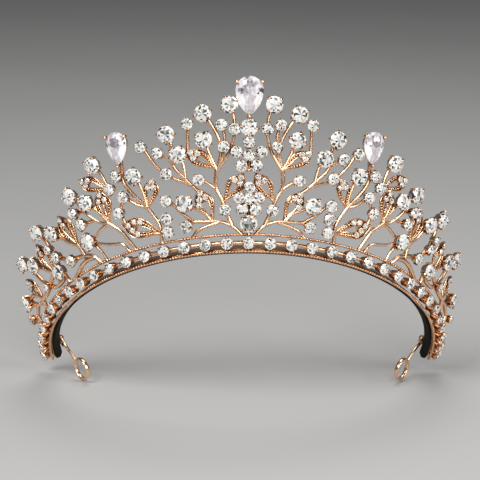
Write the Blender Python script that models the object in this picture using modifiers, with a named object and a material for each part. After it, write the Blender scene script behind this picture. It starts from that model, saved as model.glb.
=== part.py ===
"""Bridal tiara: crest castings set with crystals, standing on a beaded band with a lined head strip.

The crest is drawn flat, as millimetres along the band from the front and up the crest, and is then
wrapped round a flaring cone. The tiara is posed as worn: front crest upright, band ends low behind.
"""
import math

import bmesh
import bpy
from mathutils import Matrix, Vector

MM = 0.001
MERGE = 0.00001
UNION_MERGE = 0.0000001
SPECK = 0.0003

# Sides and steps of round shapes
STEM_SIDES = 4
RAIL_SIDES = 6
SMALL_STONE_SIDES = 6
LARGE_STONE_SIDES = 8
KNUCKLE_SIDES = 8
PEAR_ARC_STEPS = 8
PEAR_FLANK_STEPS = 3
LOOP_EYE_STEPS = 14

# Band, millimetres
BAND_RADIUS = 78.0
BAND_STONES_EACH_SIDE = 17
BAND_STONE_PITCH = 7.63
BAND_STONE_DIAMETER = 4.3
BAND_OVERHANG = 1.6
RAIL_RADIUS = 0.6
UPPER_RAIL_UP = 2.9
LOWER_RAIL_UP = -3.1
BAR_RADIUS = 0.65

# Crest, millimetres and degrees
CREST_FLARE = 37.0
WORN_TILT = 45.0
STEM_RADIUS = 0.6
STEM_STAGGER = 0.06
FOOT_SLANT = 0.5
LEAN_RISE = 8.4
RIGHT_LEAN = 0.09
RIGHT_LEAN_FROM = 12.0
RIGHT_LEAN_TO = 46.0
RIGHT_UPRIGHT = 12.0
UPRIGHT_TO = 106.0
UPRIGHT_RISE = 5.0
LEAF_BAR_RADIUS = 0.55
LEAF_BOW = 0.19
LEAF_FULLNESS = 1.35
LEAF_SHARES = (-0.03, 0.25, 0.52, 0.78, 1.03)
LARGE_STONE_DIAMETER = 6.3
MEDIUM_STONE_DIAMETER = 4.3
SMALL_STONE_DIAMETER = 3.4
CENTRE_PEAR_LENGTH = 14.0
CENTRE_PEAR_WIDTH = 10.0
SIDE_PEAR_LENGTH = 12.0
SIDE_PEAR_WIDTH = 8.0
SEAT_GAP = 0.3

# Stone settings, millimetres out from the middle of the crest
SETTING_BACK = -0.7
SETTING_TOP = 1.0
GIRDLE_RISE = 1.1
STONE_RISE = 2.5
PEAR_RISE = 2.8
CUP_TAPER = 0.55
BAND_CUP_TAPER = 1.0
CUP_SHARE = 0.74
TABLE_SHARE = 0.58

# Head strip and lining, millimetres and degrees
STRIP_SLOPE = 55.0
STRIP_WIDTH = 4.6
STRIP_THICKNESS = 0.7
LINING_THICKNESS = 0.8
LINING_INSET = 0.9
STRIP_OVERHANG = 1.0

# End loops, millimetres and degrees
LOOP_FROM_END = 8.3
LOOP_WIRE_RADIUS = 0.62
LOOP_DROP = 56.0
LOOP_LENGTH = 16.0
LOOP_EYE_RADIUS = 4.2
LOOP_EYE_TWIST = 20.0
LOOP_BEND = 0.9
LOOP_LEG_SWAY = 5.0
LOOP_TAIL = 2.2
KNUCKLE_LENGTH = 2.8
KNUCKLE_WALL = 0.4
KNUCKLE_BITE = 0.35

BAND_HALF_LENGTH = BAND_STONES_EACH_SIDE * BAND_STONE_PITCH + BAND_OVERHANG
STRIP_HALF_LENGTH = BAND_HALF_LENGTH + STRIP_OVERHANG
LOOP_ALONG = STRIP_HALF_LENGTH - LOOP_FROM_END
FOOT_UP = UPPER_RAIL_UP + RAIL_RADIUS + STEM_RADIUS * FOOT_SLANT + SEAT_GAP

FLARE = math.radians(CREST_FLARE)
SLOPE = math.radians(STRIP_SLOPE)
TILT = Matrix.Rotation(-math.radians(WORN_TILT), 4, 'X')

ROSE_GOLD = (0.86, 0.46, 0.30)
CRYSTAL = (0.90, 0.90, 0.93)
VELVET = (0.02, 0.015, 0.012)


class Casting:
    """One crest casting of a side: stems, open leaves and the stones that it holds."""

    def __init__(self, name, root, lean, stems, leaves=(), large=(), medium=(), small=()):
        self.name = name
        self.root = root
        self.lean = lean
        self.stems = stems
        self.leaves = leaves
        self.large = large
        self.medium = medium
        self.small = small


INNER = Casting(
    'spray_inner', root=(7.6, 11.9), lean=1.0,
    stems=[
        [(6.2, 7.9), (6.7, 9.4), (7.6, 11.9), (8.8, 16.0), (10.2, 19.5), (10.2, 23.0), (9.8, 26.5)],
        [(9.8, 26.0), (8.6, 31.0), (8.6, 36.0), (10.0, 41.0), (12.6, 46.7)],
        [(9.8, 26.3), (11.6, 32.0), (12.9, 37.4)],
        [(9.7, 26.2), (8.2, 30.5), (7.4, 34.5)],
        [(9.6, 26.1), (6.3, 32.0), (4.8, 37.0), (4.4, 40.7)],
        [(4.4, 40.7), (4.7, 45.0), (5.7, 49.4)],
        [(7.4, 34.5), (7.3, 38.5), (7.9, 42.3)],
        [(17.8, 33.6), (17.4, 38.5), (17.0, 43.5)],
        [(10.1, 19.3), (12.8, 21.9), (15.2, 23.2)],
    ],
    leaves=[((7.8, 15.2), (1.9, 24.6)), ((10.2, 26.8), (18.0, 34.0))],
    large=[(5.7, 49.4), (12.6, 46.7), (12.9, 37.4)],
    medium=[(17.0, 43.5), (7.9, 42.3), (4.4, 40.7), (7.4, 34.5), (15.2, 23.2), (7.6, 11.9)],
)

MID = Casting(
    'spray_mid', root=(12.0, 8.2), lean=3.0,
    stems=[
        [(3.4, FOOT_UP), (4.2, 5.0), (5.8, 6.3), (8.6, 7.6), (11.2, 8.1), (15.0, 8.2), (18.3, 8.4),
         (20.8, 7.2)],
        [(10.0, 7.6), (14.0, 6.5), (17.6, 5.2), (18.7, FOOT_UP)],
        [(12.6, 8.6), (14.9, 11.5), (18.0, 13.3), (20.7, 15.2)],
        [(18.6, 8.5), (20.3, 10.0), (22.7, 12.4), (25.0, 15.4), (26.6, 16.8)],
        [(16.3, 19.2), (17.8, 20.8), (20.8, 24.9), (23.0, 28.2), (23.8, 32.0), (23.4, 36.0), (24.1, 40.4)],
        [(23.4, 29.6), (25.0, 32.0), (27.3, 34.1)],
        [(18.0, 21.2), (21.0, 23.0), (25.2, 25.4), (28.0, 28.8), (29.9, 32.6), (31.7, 37.3)],
        [(20.0, 24.0), (20.3, 28.5), (21.3, 32.8)],
    ],
    leaves=[((11.8, 8.3), (16.4, 19.6))],
    large=[(21.3, 32.8), (24.1, 40.4), (20.7, 15.2)],
    medium=[(27.3, 34.1), (25.3, 26.4), (31.7, 37.3), (26.6, 16.8), (20.8, 7.2)],
)

LEAF = Casting(
    'spray_leaf', root=(30.7, FOOT_UP), lean=0.5,
    stems=[
        [(30.9, FOOT_UP), (30.4, 8.5), (31.0, 11.4), (33.4, 16.8), (35.8, 20.6), (37.8, 24.5),
         (38.8, 28.0), (38.3, 31.5), (37.8, 35.0), (37.4, 38.5)],
        [(33.3, 17.0), (33.4, 22.0), (34.6, 28.6)],
        [(33.4, 16.8), (36.6, 18.6), (39.7, 22.4)],
        [(38.7, 27.6), (39.9, 30.2)],
        [(39.7, 22.4), (41.6, 20.0), (42.6, 16.6), (42.2, 12.6)],
        [(30.9, 11.2), (27.4, 10.8)],
        [(30.6, 7.0), (27.6, 6.2)],
    ],
    leaves=[((32.7, 16.6), (29.5, 26.2)), ((31.0, 6.6), (43.4, 12.9))],
    large=[(34.6, 28.6)],
    medium=[(39.9, 30.3), (39.7, 22.4), (42.6, 17.3), (27.2, 11.2), (27.5, 6.4)],
)

OUTER = Casting(
    'spray_outer', root=(47.0, 13.9), lean=0.5,
    stems=[
        [(41.8, FOOT_UP), (43.4, 8.0), (44.9, 11.4), (47.0, 13.9), (48.4, 15.7)],
        [(48.2, 15.4), (49.6, 19.0), (51.3, 22.4), (52.7, 25.3)],
        [(48.2, 15.5), (50.8, 16.4), (53.6, 19.6), (55.6, 23.6), (57.3, 29.8)],
        [(55.0, 22.4), (58.6, 23.6)],
        [(52.4, 18.2), (57.4, 18.6)],
        [(47.6, 27.3), (46.2, 26.8), (44.4, 27.2)],
        [(44.4, 27.0), (44.7, 31.5), (46.1, 37.0)],
        [(48.2, 15.2), (51.4, 14.4), (54.2, 13.0), (57.6, 11.9)],
        [(57.6, 11.9), (54.0, 9.4), (50.0, 7.8), (46.0, 6.6), (44.4, FOOT_UP)],
        [(57.4, 11.5), (55.4, 7.6), (54.4, FOOT_UP)],
    ],
    leaves=[((47.8, 15.2), (47.6, 27.6)), ((44.6, 27.0), (52.8, 33.8))],
    large=[(46.1, 37.0), (52.7, 25.3), (57.3, 29.8), (57.6, 11.9)],
    medium=[(43.1, 26.8), (58.6, 23.6), (57.4, 18.6)],
)

SIDE = Casting(
    'spray_side', root=(62.0, 8.0), lean=-5.0,
    stems=[
        [(57.6, FOOT_UP), (59.2, 6.4), (62.0, 8.0), (65.0, 8.8), (68.0, 9.2)],
        [(59.0, 5.9), (62.0, 5.4), (65.8, 5.9), (68.0, 9.0)],
        [(62.2, 7.4), (62.7, 10.4), (62.8, 13.4)],
        [(62.8, 13.0), (66.2, 16.5), (69.2, 22.2)],
        [(68.0, 9.2), (71.2, 11.4), (73.6, 14.6), (74.6, 18.6), (74.8, 22.4), (74.6, 26.4)],
    ],
    leaves=[((62.7, 12.8), (64.2, 26.0))],
    large=[(69.2, 22.2), (74.6, 26.4)],
    medium=[(73.4, 14.4), (68.0, 9.2)],
    small=[(74.6, 18.6)],
)

END = Casting(
    'spray_end', root=(80.0, 9.6), lean=0.0,
    stems=[
        [(75.6, FOOT_UP), (76.2, 8.3), (78.2, 8.8), (80.0, 9.8)],
        [(80.2, 9.8), (83.4, 12.6), (86.5, 17.0)],
        [(80.0, 9.6), (83.5, 8.6), (87.0, 7.2), (91.0, 6.2), (95.5, 6.4)],
        [(87.0, 7.4), (89.8, 12.0), (91.8, 20.8)],
        [(95.2, 6.3), (98.5, 6.2), (102.6, 7.8), (106.1, 11.4)],
        [(102.0, 7.4), (106.5, 6.2), (111.4, 6.6)],
        [(76.0, 6.6), (78.6, 5.0), (83.0, 5.0), (87.0, 7.0)],
        [(95.3, 6.6), (98.6, 9.8), (102.4, 11.6), (106.1, 11.6)],
        [(97.4, FOOT_UP), (96.4, 6.4)],
        [(109.0, FOOT_UP), (108.6, 6.4)],
    ],
    leaves=[((80.0, 9.4), (81.2, 22.4)), ((95.2, 6.2), (98.0, 17.0))],
    large=[(76.2, 8.3), (86.5, 17.0), (91.8, 20.8), (106.1, 11.4)],
    small=[(87.0, 7.2), (111.4, 6.6)],
)

SIDE_CASTINGS = (INNER, MID, LEAF, OUTER, SIDE, END)
SIDES = {'left': -1, 'right': 1}

# Middle of the front: big stone on the band, the flower over it and the column up to the pear
BIG_STONE_UP = 6.9
FLOWER_MIDDLE = (0.0, 15.8)
FLOWER_PETALS = [(0.0, 19.8), (-3.0, 16.2), (3.0, 16.2), (-2.1, 12.2), (2.1, 12.2)]
COLUMN_FOOT_UP = 26.6
COLUMN_LARGE_UP = 41.2
COLUMN_PEAR_GAP = 1.05
COLUMN_MIDDLE_UPS = (36.0, 31.4)
COLUMN_TWIGS = [(-3.5, 32.6), (3.5, 32.6), (-2.2, 27.6), (2.2, 27.6)]
TWIG_DROP = 1.6
PEAR_STEM_BITE = 3.0
CENTRE_PEAR_UP = COLUMN_LARGE_UP + LARGE_STONE_DIAMETER / 2 + COLUMN_PEAR_GAP + CENTRE_PEAR_LENGTH / 2
SIDE_PEAR_AT = (37.2, 39.9)
SIDE_PEAR_TURN = 11.0


def ramped(value, start, end):
    """Share of the way from start to end, held between 0 and 1."""
    return min(1.0, max(0.0, (value - start) / (end - start)))


def flat_to_cone(along, up, out):
    """A point of the flat drawing, wrapped on the flaring cone; the band circle is level there.

    The right half of the crest leans a little towards the middle, and its far end stands more upright.
    """
    height = max(0.0, up - FOOT_UP)
    along -= RIGHT_LEAN * ramped(along, RIGHT_LEAN_FROM, RIGHT_LEAN_TO) * height
    upright = ramped(along, RIGHT_LEAN_TO, UPRIGHT_TO) * ramped(height, 0.0, UPRIGHT_RISE)
    flare = FLARE - math.radians(RIGHT_UPRIGHT) * upright
    angle = along / BAND_RADIUS
    away = Vector((math.sin(angle), -math.cos(angle), 0.0))
    rise = away * math.sin(flare) + Vector((0.0, 0.0, math.cos(flare)))
    face = away * math.cos(flare) - Vector((0.0, 0.0, math.sin(flare)))
    return away * BAND_RADIUS + rise * up + face * out, rise, face


def strip_profile(slide, lift):
    """Radius and height of a point on the head strip's section: slide inwards, lift off the head."""
    radius = BAND_RADIUS + LOWER_RAIL_UP * math.sin(FLARE)
    height = LOWER_RAIL_UP * math.cos(FLARE)
    radius += -slide * math.cos(SLOPE) + lift * math.sin(SLOPE)
    height += slide * math.sin(SLOPE) + lift * math.cos(SLOPE)
    return radius, height


STRIP_START = RAIL_RADIUS + SEAT_GAP
STRIP_END = STRIP_START + STRIP_WIDTH
LINING_DROP = -(STRIP_THICKNESS / 2 + SEAT_GAP + LINING_THICKNESS / 2)
seat_radius, seat_height = strip_profile((STRIP_START + STRIP_END - LINING_INSET) / 2,
                                         LINING_DROP - LINING_THICKNESS / 2)
SEAT = Vector((0.0, -seat_radius, seat_height))


def to_world(point):
    """Worn pose, in metres, with the origin where the lining's front sits on the head."""
    return TILT @ ((point - SEAT) * MM)


def crest_frame(along, up, out=0.0):
    """World matrix on the crest: X along the band, Y up the crest, Z out of its face."""
    point, rise, face = flat_to_cone(along, up, out)
    turn = Matrix((rise.cross(face), rise, face)).transposed().to_4x4()
    return Matrix.Translation(to_world(point)) @ TILT @ turn


def leaned(casting, side, spot):
    """Mirror a drawn spot to its side and lean it about the casting's root, as a hand-bent pair leans."""
    angle = math.radians(casting.lean) * -side
    across = spot[0] - casting.root[0]
    up = spot[1] - casting.root[1]
    share = min(1.0, max(0.0, (spot[1] - FOOT_UP) / LEAN_RISE))
    angle *= share
    along = casting.root[0] + across * math.cos(angle) - up * math.sin(angle)
    raised = casting.root[1] + across * math.sin(angle) + up * math.cos(angle)
    return along * side, raised


def rounded(points, steps):
    """Points on a smooth curve through the drawn points."""
    knots = [Vector(point) for point in points]
    if len(knots) == 2:
        return knots
    padded = [knots[0] * 2 - knots[1]] + knots + [knots[-1] * 2 - knots[-2]]
    curve = []
    for before, start, end, after in zip(padded, padded[1:], padded[2:], padded[3:]):
        for step in range(steps):
            t = step / steps
            pull = (end - before) * t + (before * 2 - start * 5 + end * 4 - after) * t * t
            pull += (start * 3 - before - end * 3 + after) * t ** 3
            curve.append(start + pull / 2)
    return curve + [knots[-1]]


def start_scene():
    """Empty the scene and make the object's collection and the one for cutters."""
    for old in list(bpy.data.objects):
        bpy.data.objects.remove(old, do_unlink=True)
    collections = []
    for name in ('bridal_tiara', 'cutters'):
        collection = bpy.data.collections.new(name)
        bpy.context.scene.collection.children.link(collection)
        collections.append(collection)
    return collections


PARTS, CUTTERS = start_scene()


def paint(name, colour, metallic, roughness):
    """A Principled material of one colour."""
    material = bpy.data.materials.new(name)
    material.use_nodes = True
    shader = material.node_tree.nodes['Principled BSDF']
    shader.inputs['Base Color'].default_value = (*colour, 1.0)
    shader.inputs['Metallic'].default_value = metallic
    shader.inputs['Roughness'].default_value = roughness
    return material


METAL = paint('rose_gold', ROSE_GOLD, 1.0, 0.18)
STONE = paint('crystal', CRYSTAL, 0.0, 0.05)
LINING = paint('lining', VELVET, 0.0, 0.9)


def add(mesh, name, material, collection=None):
    """Link a mesh as an object with its material."""
    piece = bpy.data.objects.new(name, mesh)
    mesh.materials.clear()
    mesh.materials.append(material)
    (collection or PARTS).objects.link(piece)
    return piece


def frozen(piece, weld=MERGE):
    """The piece as its modifiers or curve make it, as a plain mesh; the piece itself goes."""
    bpy.context.view_layer.update()
    evaluated = piece.evaluated_get(bpy.context.evaluated_depsgraph_get())
    mesh = bpy.data.meshes.new_from_object(evaluated)
    mesh.transform(piece.matrix_world)
    shape = bmesh.new()
    shape.from_mesh(mesh)
    bmesh.ops.remove_doubles(shape, verts=shape.verts, dist=weld)
    bmesh.ops.recalc_face_normals(shape, faces=shape.faces)
    shape.to_mesh(mesh)
    shape.free()
    bpy.data.objects.remove(piece, do_unlink=True)
    return mesh


def wire(points, radius, sides=STEM_SIDES, closed=False):
    """A tube along world points, as a mesh."""
    curve = bpy.data.curves.new('wire', 'CURVE')
    curve.dimensions = '3D'
    curve.bevel_depth = radius * MM
    curve.bevel_resolution = (sides - 4) // 2
    curve.use_fill_caps = True
    spline = curve.splines.new('POLY')
    spline.points.add(len(points) - 1)
    for knot, point in zip(spline.points, points):
        knot.co = (*point, 1.0)
    spline.use_cyclic_u = closed
    piece = bpy.data.objects.new('wire', curve)
    CUTTERS.objects.link(piece)
    return frozen(piece)


def turned(profile, sides, frame):
    """A closed shape turned about the frame's Z from radii and heights, bottom to top."""
    mesh = bpy.data.meshes.new('turned')
    shape = bmesh.new()
    rings = [(0.0, profile[0][1])] + list(profile) + [(0.0, profile[-1][1])]
    knots = [shape.verts.new((radius * MM, 0.0, height * MM)) for radius, height in reversed(rings)]
    for upper, lower in zip(knots, knots[1:]):
        shape.edges.new((upper, lower))
    shape.to_mesh(mesh)
    shape.free()
    piece = bpy.data.objects.new('turned', mesh)
    CUTTERS.objects.link(piece)
    screw = piece.modifiers.new('turn', 'SCREW')
    screw.steps = sides
    screw.render_steps = sides
    screw.use_merge_vertices = True
    screw.merge_threshold = MERGE
    piece.matrix_world = frame
    return frozen(piece)


def pear_outline(length, width):
    """Outline of a pear stone, tip down: a half round head and two bowed flanks."""
    radius = width / 2
    centre = length / 2 - radius
    reach = centre + length / 2
    bow = (radius * radius + reach * reach) / width
    drop = math.asin(reach / bow)
    outline = []
    for step in range(PEAR_FLANK_STEPS):
        angle = drop * (1.0 - step / PEAR_FLANK_STEPS)
        outline.append((radius - bow * (1.0 - math.cos(angle)), centre - bow * math.sin(angle)))
    for step in range(PEAR_ARC_STEPS + 1):
        angle = math.pi * step / PEAR_ARC_STEPS
        outline.append((radius * math.cos(angle), centre + radius * math.sin(angle)))
    mirrored = [(-across, up) for across, up in outline[1:PEAR_FLANK_STEPS]]
    return outline + mirrored[::-1]


def slab(outline, bottom, top, chamfer, frame):
    """An outline made solid between two heights, with chamfered edges."""
    curve = bpy.data.curves.new('slab', 'CURVE')
    curve.dimensions = '2D'
    curve.fill_mode = 'BOTH'
    curve.extrude = ((top - bottom) / 2 - chamfer) * MM
    curve.bevel_depth = chamfer * MM
    curve.bevel_resolution = 0
    curve.offset = -chamfer * MM
    spline = curve.splines.new('POLY')
    spline.points.add(len(outline) - 1)
    for knot, (across, up) in zip(spline.points, outline):
        knot.co = (across * MM, up * MM, 0.0, 1.0)
    spline.use_cyclic_u = True
    piece = bpy.data.objects.new('slab', curve)
    CUTTERS.objects.link(piece)
    piece.matrix_world = frame @ Matrix.Translation((0.0, 0.0, (bottom + top) / 2 * MM))
    return frozen(piece)


def drop_specks(mesh):
    """Remove the tiny closed specks that a union can leave where two wires only graze each other."""
    shape = bmesh.new()
    shape.from_mesh(mesh)
    waiting = set(shape.verts)
    specks = []
    while waiting:
        first = waiting.pop()
        patch = {first}
        edge_of_patch = [first]
        while edge_of_patch:
            near = {edge.other_vert(vert) for vert in edge_of_patch for edge in vert.link_edges}
            edge_of_patch = list(near - patch)
            patch |= near
        waiting -= patch
        if max((vert.co - first.co).length for vert in patch) < SPECK:
            specks += patch
    bmesh.ops.delete(shape, geom=specks, context='VERTS')
    shape.to_mesh(mesh)
    shape.free()


def united(meshes, name, material):
    """Join meshes into one closed body with a Boolean union."""
    body = add(meshes[0], name, material)
    group = bpy.data.collections.new(name + '_pieces')
    CUTTERS.children.link(group)
    others = [add(mesh, name + '_piece', material, group) for mesh in meshes[1:]]
    union = body.modifiers.new('union', 'BOOLEAN')
    union.operation = 'UNION'
    union.solver = 'EXACT'
    union.operand_type = 'COLLECTION'
    union.collection = group
    mesh = frozen(body, weld=UNION_MERGE)
    drop_specks(mesh)
    for other in others:
        bpy.data.objects.remove(other, do_unlink=True)
    bpy.data.collections.remove(group)
    return add(mesh, name, material)


def crest_stem(points, layer=0):
    """A wire laid on the crest through drawn points, a hair further out for each layer under it."""
    steps = 2 if len(points) < 4 else 1
    path = rounded([(along, up, STEM_STAGGER * layer) for along, up in points], steps)
    return wire([crest_frame(*spot).translation for spot in path], STEM_RADIUS)


def leaf_bars(base, tip):
    """The two bowed bars of an open leaf."""
    base = Vector((*base, 0.0))
    tip = Vector((*tip, 0.0))
    axis = tip - base
    side = Vector((-axis.y, axis.x, 0.0)).normalized()
    bow = axis.length * LEAF_BOW
    bars = []
    for sign in (-1, 1):
        path = []
        for share in LEAF_SHARES:
            swell = math.sin(math.pi * min(1.0, max(0.0, share)) ** LEAF_FULLNESS)
            path.append(base + axis * share + side * (sign * bow * swell))
        bars.append(wire([crest_frame(spot.x, spot.y).translation for spot in path], LEAF_BAR_RADIUS))
    return bars


def cup(spot, diameter):
    """Open setting under a separate large stone."""
    radius = diameter / 2
    profile = [(radius * CUP_TAPER, SETTING_BACK), (radius * CUP_SHARE, SETTING_TOP)]
    return turned(profile, SMALL_STONE_SIDES, crest_frame(*spot))


def set_stone(spot, diameter, taper=CUP_TAPER):
    """Small stone and its cup in one turned shape."""
    radius = diameter / 2
    girdle = SETTING_TOP + GIRDLE_RISE * diameter / LARGE_STONE_DIAMETER
    top = SETTING_TOP + STONE_RISE * diameter / LARGE_STONE_DIAMETER
    profile = [(radius * taper, SETTING_BACK), (radius, girdle), (radius * TABLE_SHARE, top)]
    return turned(profile, SMALL_STONE_SIDES, crest_frame(*spot))


def large_stone(spot, name):
    """Separate round stone over its cup."""
    radius = LARGE_STONE_DIAMETER / 2
    low = SETTING_TOP + SEAT_GAP
    profile = [
        (radius * CUP_SHARE, low),
        (radius, low + GIRDLE_RISE),
        (radius * TABLE_SHARE, low + STONE_RISE),
    ]
    add(turned(profile, LARGE_STONE_SIDES, crest_frame(*spot)), name, STONE)


def pear_setting(length, width, frame):
    """Plate with the pear's outline that carries the stone."""
    outline = pear_outline(length * CUP_SHARE, width * CUP_SHARE)
    return slab(outline, SETTING_BACK, SETTING_TOP, SEAT_GAP, frame)


def pear_stone(length, width, frame, name):
    """Separate pear stone over its setting."""
    low = SETTING_TOP + SEAT_GAP
    add(slab(pear_outline(length, width), low, low + PEAR_RISE, GIRDLE_RISE, frame), name, STONE)


def side_pear_frame(side):
    """Place of a side pear, its tip swung a little outwards."""
    spot = leaned(LEAF, side, SIDE_PEAR_AT)
    return crest_frame(*spot) @ Matrix.Rotation(math.radians(SIDE_PEAR_TURN) * side, 4, 'Z')


def make_casting(casting, side_name):
    """One side's casting with its separate large stones."""
    side = SIDES[side_name]

    def place(spot):
        return leaned(casting, side, spot)

    meshes = [crest_stem([place(spot) for spot in stem], layer) for layer, stem in enumerate(casting.stems)]
    for base, tip in casting.leaves:
        meshes += leaf_bars(place(base), place(tip))
    meshes += [cup(place(spot), LARGE_STONE_DIAMETER) for spot in casting.large]
    meshes += [set_stone(place(spot), MEDIUM_STONE_DIAMETER) for spot in casting.medium]
    meshes += [set_stone(place(spot), SMALL_STONE_DIAMETER) for spot in casting.small]
    if casting is LEAF:
        frame = side_pear_frame(side)
        meshes.append(pear_setting(SIDE_PEAR_LENGTH, SIDE_PEAR_WIDTH, frame))
        pear_stone(SIDE_PEAR_LENGTH, SIDE_PEAR_WIDTH, frame, 'pear_crystal_' + side_name)
    united(meshes, casting.name + '_' + side_name, METAL)
    for number, spot in enumerate(casting.large, 1):
        stone_name = casting.name.replace('spray', 'crystal')
        large_stone(place(spot), '%s_%d_%s' % (stone_name, number, side_name))


def make_centre():
    """Column with the centre pear, and the flower on the big stone's cup."""
    frame = crest_frame(0.0, CENTRE_PEAR_UP)
    top_up = CENTRE_PEAR_UP - CENTRE_PEAR_LENGTH / 2 + PEAR_STEM_BITE
    column = [crest_stem([(0.0, COLUMN_FOOT_UP), (0.0, COLUMN_LARGE_UP), (0.0, top_up)])]
    column.append(pear_setting(CENTRE_PEAR_LENGTH, CENTRE_PEAR_WIDTH, frame))
    column.append(cup((0.0, COLUMN_LARGE_UP), LARGE_STONE_DIAMETER))
    for up in COLUMN_MIDDLE_UPS:
        column.append(set_stone((0.0, up), MEDIUM_STONE_DIAMETER))
    for layer, (along, up) in enumerate(COLUMN_TWIGS, 1):
        column.append(set_stone((along, up), MEDIUM_STONE_DIAMETER))
        column.append(crest_stem([(along, up), (0.0, up - TWIG_DROP)], layer))
    united(column, 'centre_column', METAL)
    pear_stone(CENTRE_PEAR_LENGTH, CENTRE_PEAR_WIDTH, frame, 'pear_crystal_centre')
    large_stone((0.0, COLUMN_LARGE_UP), 'crystal_column')

    flower = [cup((0.0, BIG_STONE_UP), LARGE_STONE_DIAMETER)]
    flower.append(crest_stem([(0.0, FOOT_UP), (0.0, BIG_STONE_UP), FLOWER_MIDDLE]))
    flower.append(set_stone(FLOWER_MIDDLE, MEDIUM_STONE_DIAMETER))
    for layer, petal in enumerate(FLOWER_PETALS, 1):
        flower.append(set_stone(petal, MEDIUM_STONE_DIAMETER))
        flower.append(crest_stem([petal, FLOWER_MIDDLE], layer))
    united(flower, 'centre_flower', METAL)
    large_stone((0.0, BIG_STONE_UP), 'crystal_centre')


def band_path(up):
    """World points along the band at one height."""
    count = 2 * (BAND_STONES_EACH_SIDE + 1)
    half = BAND_HALF_LENGTH
    return [crest_frame(half * (2 * step / count - 1), up).translation for step in range(count + 1)]


def make_band():
    """Two rails, and between them the bar with its row of set stones."""
    for name, up in (('lower_rail', LOWER_RAIL_UP), ('upper_rail', UPPER_RAIL_UP)):
        add(wire(band_path(up), RAIL_RADIUS, sides=RAIL_SIDES), name, METAL)
    meshes = [wire(band_path(0.0), BAR_RADIUS)]
    for number in range(-BAND_STONES_EACH_SIDE, BAND_STONES_EACH_SIDE + 1):
        spot = (number * BAND_STONE_PITCH, 0.0)
        meshes.append(set_stone(spot, BAND_STONE_DIAMETER, BAND_CUP_TAPER))
    united(meshes, 'stone_bar', METAL)


def ribbon(start, end, lift, thickness, half_length, name, material):
    """A conical strip round the band: its section turned about the band's axis, then thickened."""
    mesh = bpy.data.meshes.new(name)
    shape = bmesh.new()
    knots = []
    for slide in (start, end):
        radius, height = strip_profile(slide, lift)
        knots.append(shape.verts.new((0.0, -radius * MM, height * MM)))
    shape.edges.new(knots)
    shape.to_mesh(mesh)
    shape.free()
    angle = half_length / BAND_RADIUS
    piece = add(mesh, name, material, CUTTERS)
    screw = piece.modifiers.new('turn', 'SCREW')
    screw.angle = 2 * angle
    screw.steps = 2 * (BAND_STONES_EACH_SIDE + 1)
    screw.render_steps = screw.steps
    screw.use_merge_vertices = True
    screw.merge_threshold = MERGE
    solid = piece.modifiers.new('thickness', 'SOLIDIFY')
    solid.thickness = thickness * MM
    solid.offset = 0.0
    solid.use_even_offset = True
    piece.matrix_world = TILT @ Matrix.Translation(-SEAT * MM) @ Matrix.Rotation(-angle, 4, 'Z')
    return frozen(piece)


def loop_frame(side):
    """Hinge frame of an end loop: X along the strip, Y down the loop's leg."""
    angle = side * LOOP_ALONG / BAND_RADIUS
    radius, height = strip_profile(STRIP_END, 0.0)
    reach = LOOP_WIRE_RADIUS + SEAT_GAP + KNUCKLE_WALL - KNUCKLE_BITE
    radius -= reach * math.cos(SLOPE)
    height += reach * math.sin(SLOPE)
    away = Vector((math.sin(angle), -math.cos(angle), 0.0))
    drop = math.radians(LOOP_DROP)
    axis = Vector((math.cos(angle), math.sin(angle), 0.0))
    leg = -away * math.cos(drop) - Vector((0.0, 0.0, math.sin(drop)))
    turn = Matrix((axis, leg, axis.cross(leg))).transposed().to_4x4()
    point = away * radius + Vector((0.0, 0.0, height))
    return Matrix.Translation(to_world(point)) @ TILT @ turn


def knuckle(side):
    """Tube on the strip's inner edge that an end loop turns in, with its bore open."""
    frame = loop_frame(side) @ Matrix.Rotation(math.pi / 2, 4, 'Y')
    bore = LOOP_WIRE_RADIUS + SEAT_GAP
    outer = bore + KNUCKLE_WALL
    half = KNUCKLE_LENGTH / 2
    tube_mesh = turned([(outer, -half), (outer, half)], KNUCKLE_SIDES, frame)
    tube = add(tube_mesh, 'tube', METAL, CUTTERS)
    drill_mesh = turned([(bore, -2 * half), (bore, 2 * half)], KNUCKLE_SIDES, frame)
    drill = add(drill_mesh, 'drill', METAL, CUTTERS)
    drill.hide_render = True
    drill.display_type = 'WIRE'
    cut = tube.modifiers.new('bore', 'BOOLEAN')
    cut.operation = 'DIFFERENCE'
    cut.solver = 'EXACT'
    cut.object = drill
    mesh = frozen(tube)
    bpy.data.objects.remove(drill, do_unlink=True)
    return mesh


def make_strip():
    """Head strip with a hinge knuckle near each end, and the lining under it."""
    half = STRIP_HALF_LENGTH
    meshes = [ribbon(STRIP_START, STRIP_END, 0.0, STRIP_THICKNESS, half, 'strip', METAL)]
    meshes += [knuckle(side) for side in SIDES.values()]
    united(meshes, 'head_strip', METAL)
    lining_end = STRIP_END - LINING_INSET
    lining = ribbon(STRIP_START, lining_end, LINING_DROP, LINING_THICKNESS, half, 'lining', LINING)
    add(lining, 'strip_lining', LINING)


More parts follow.
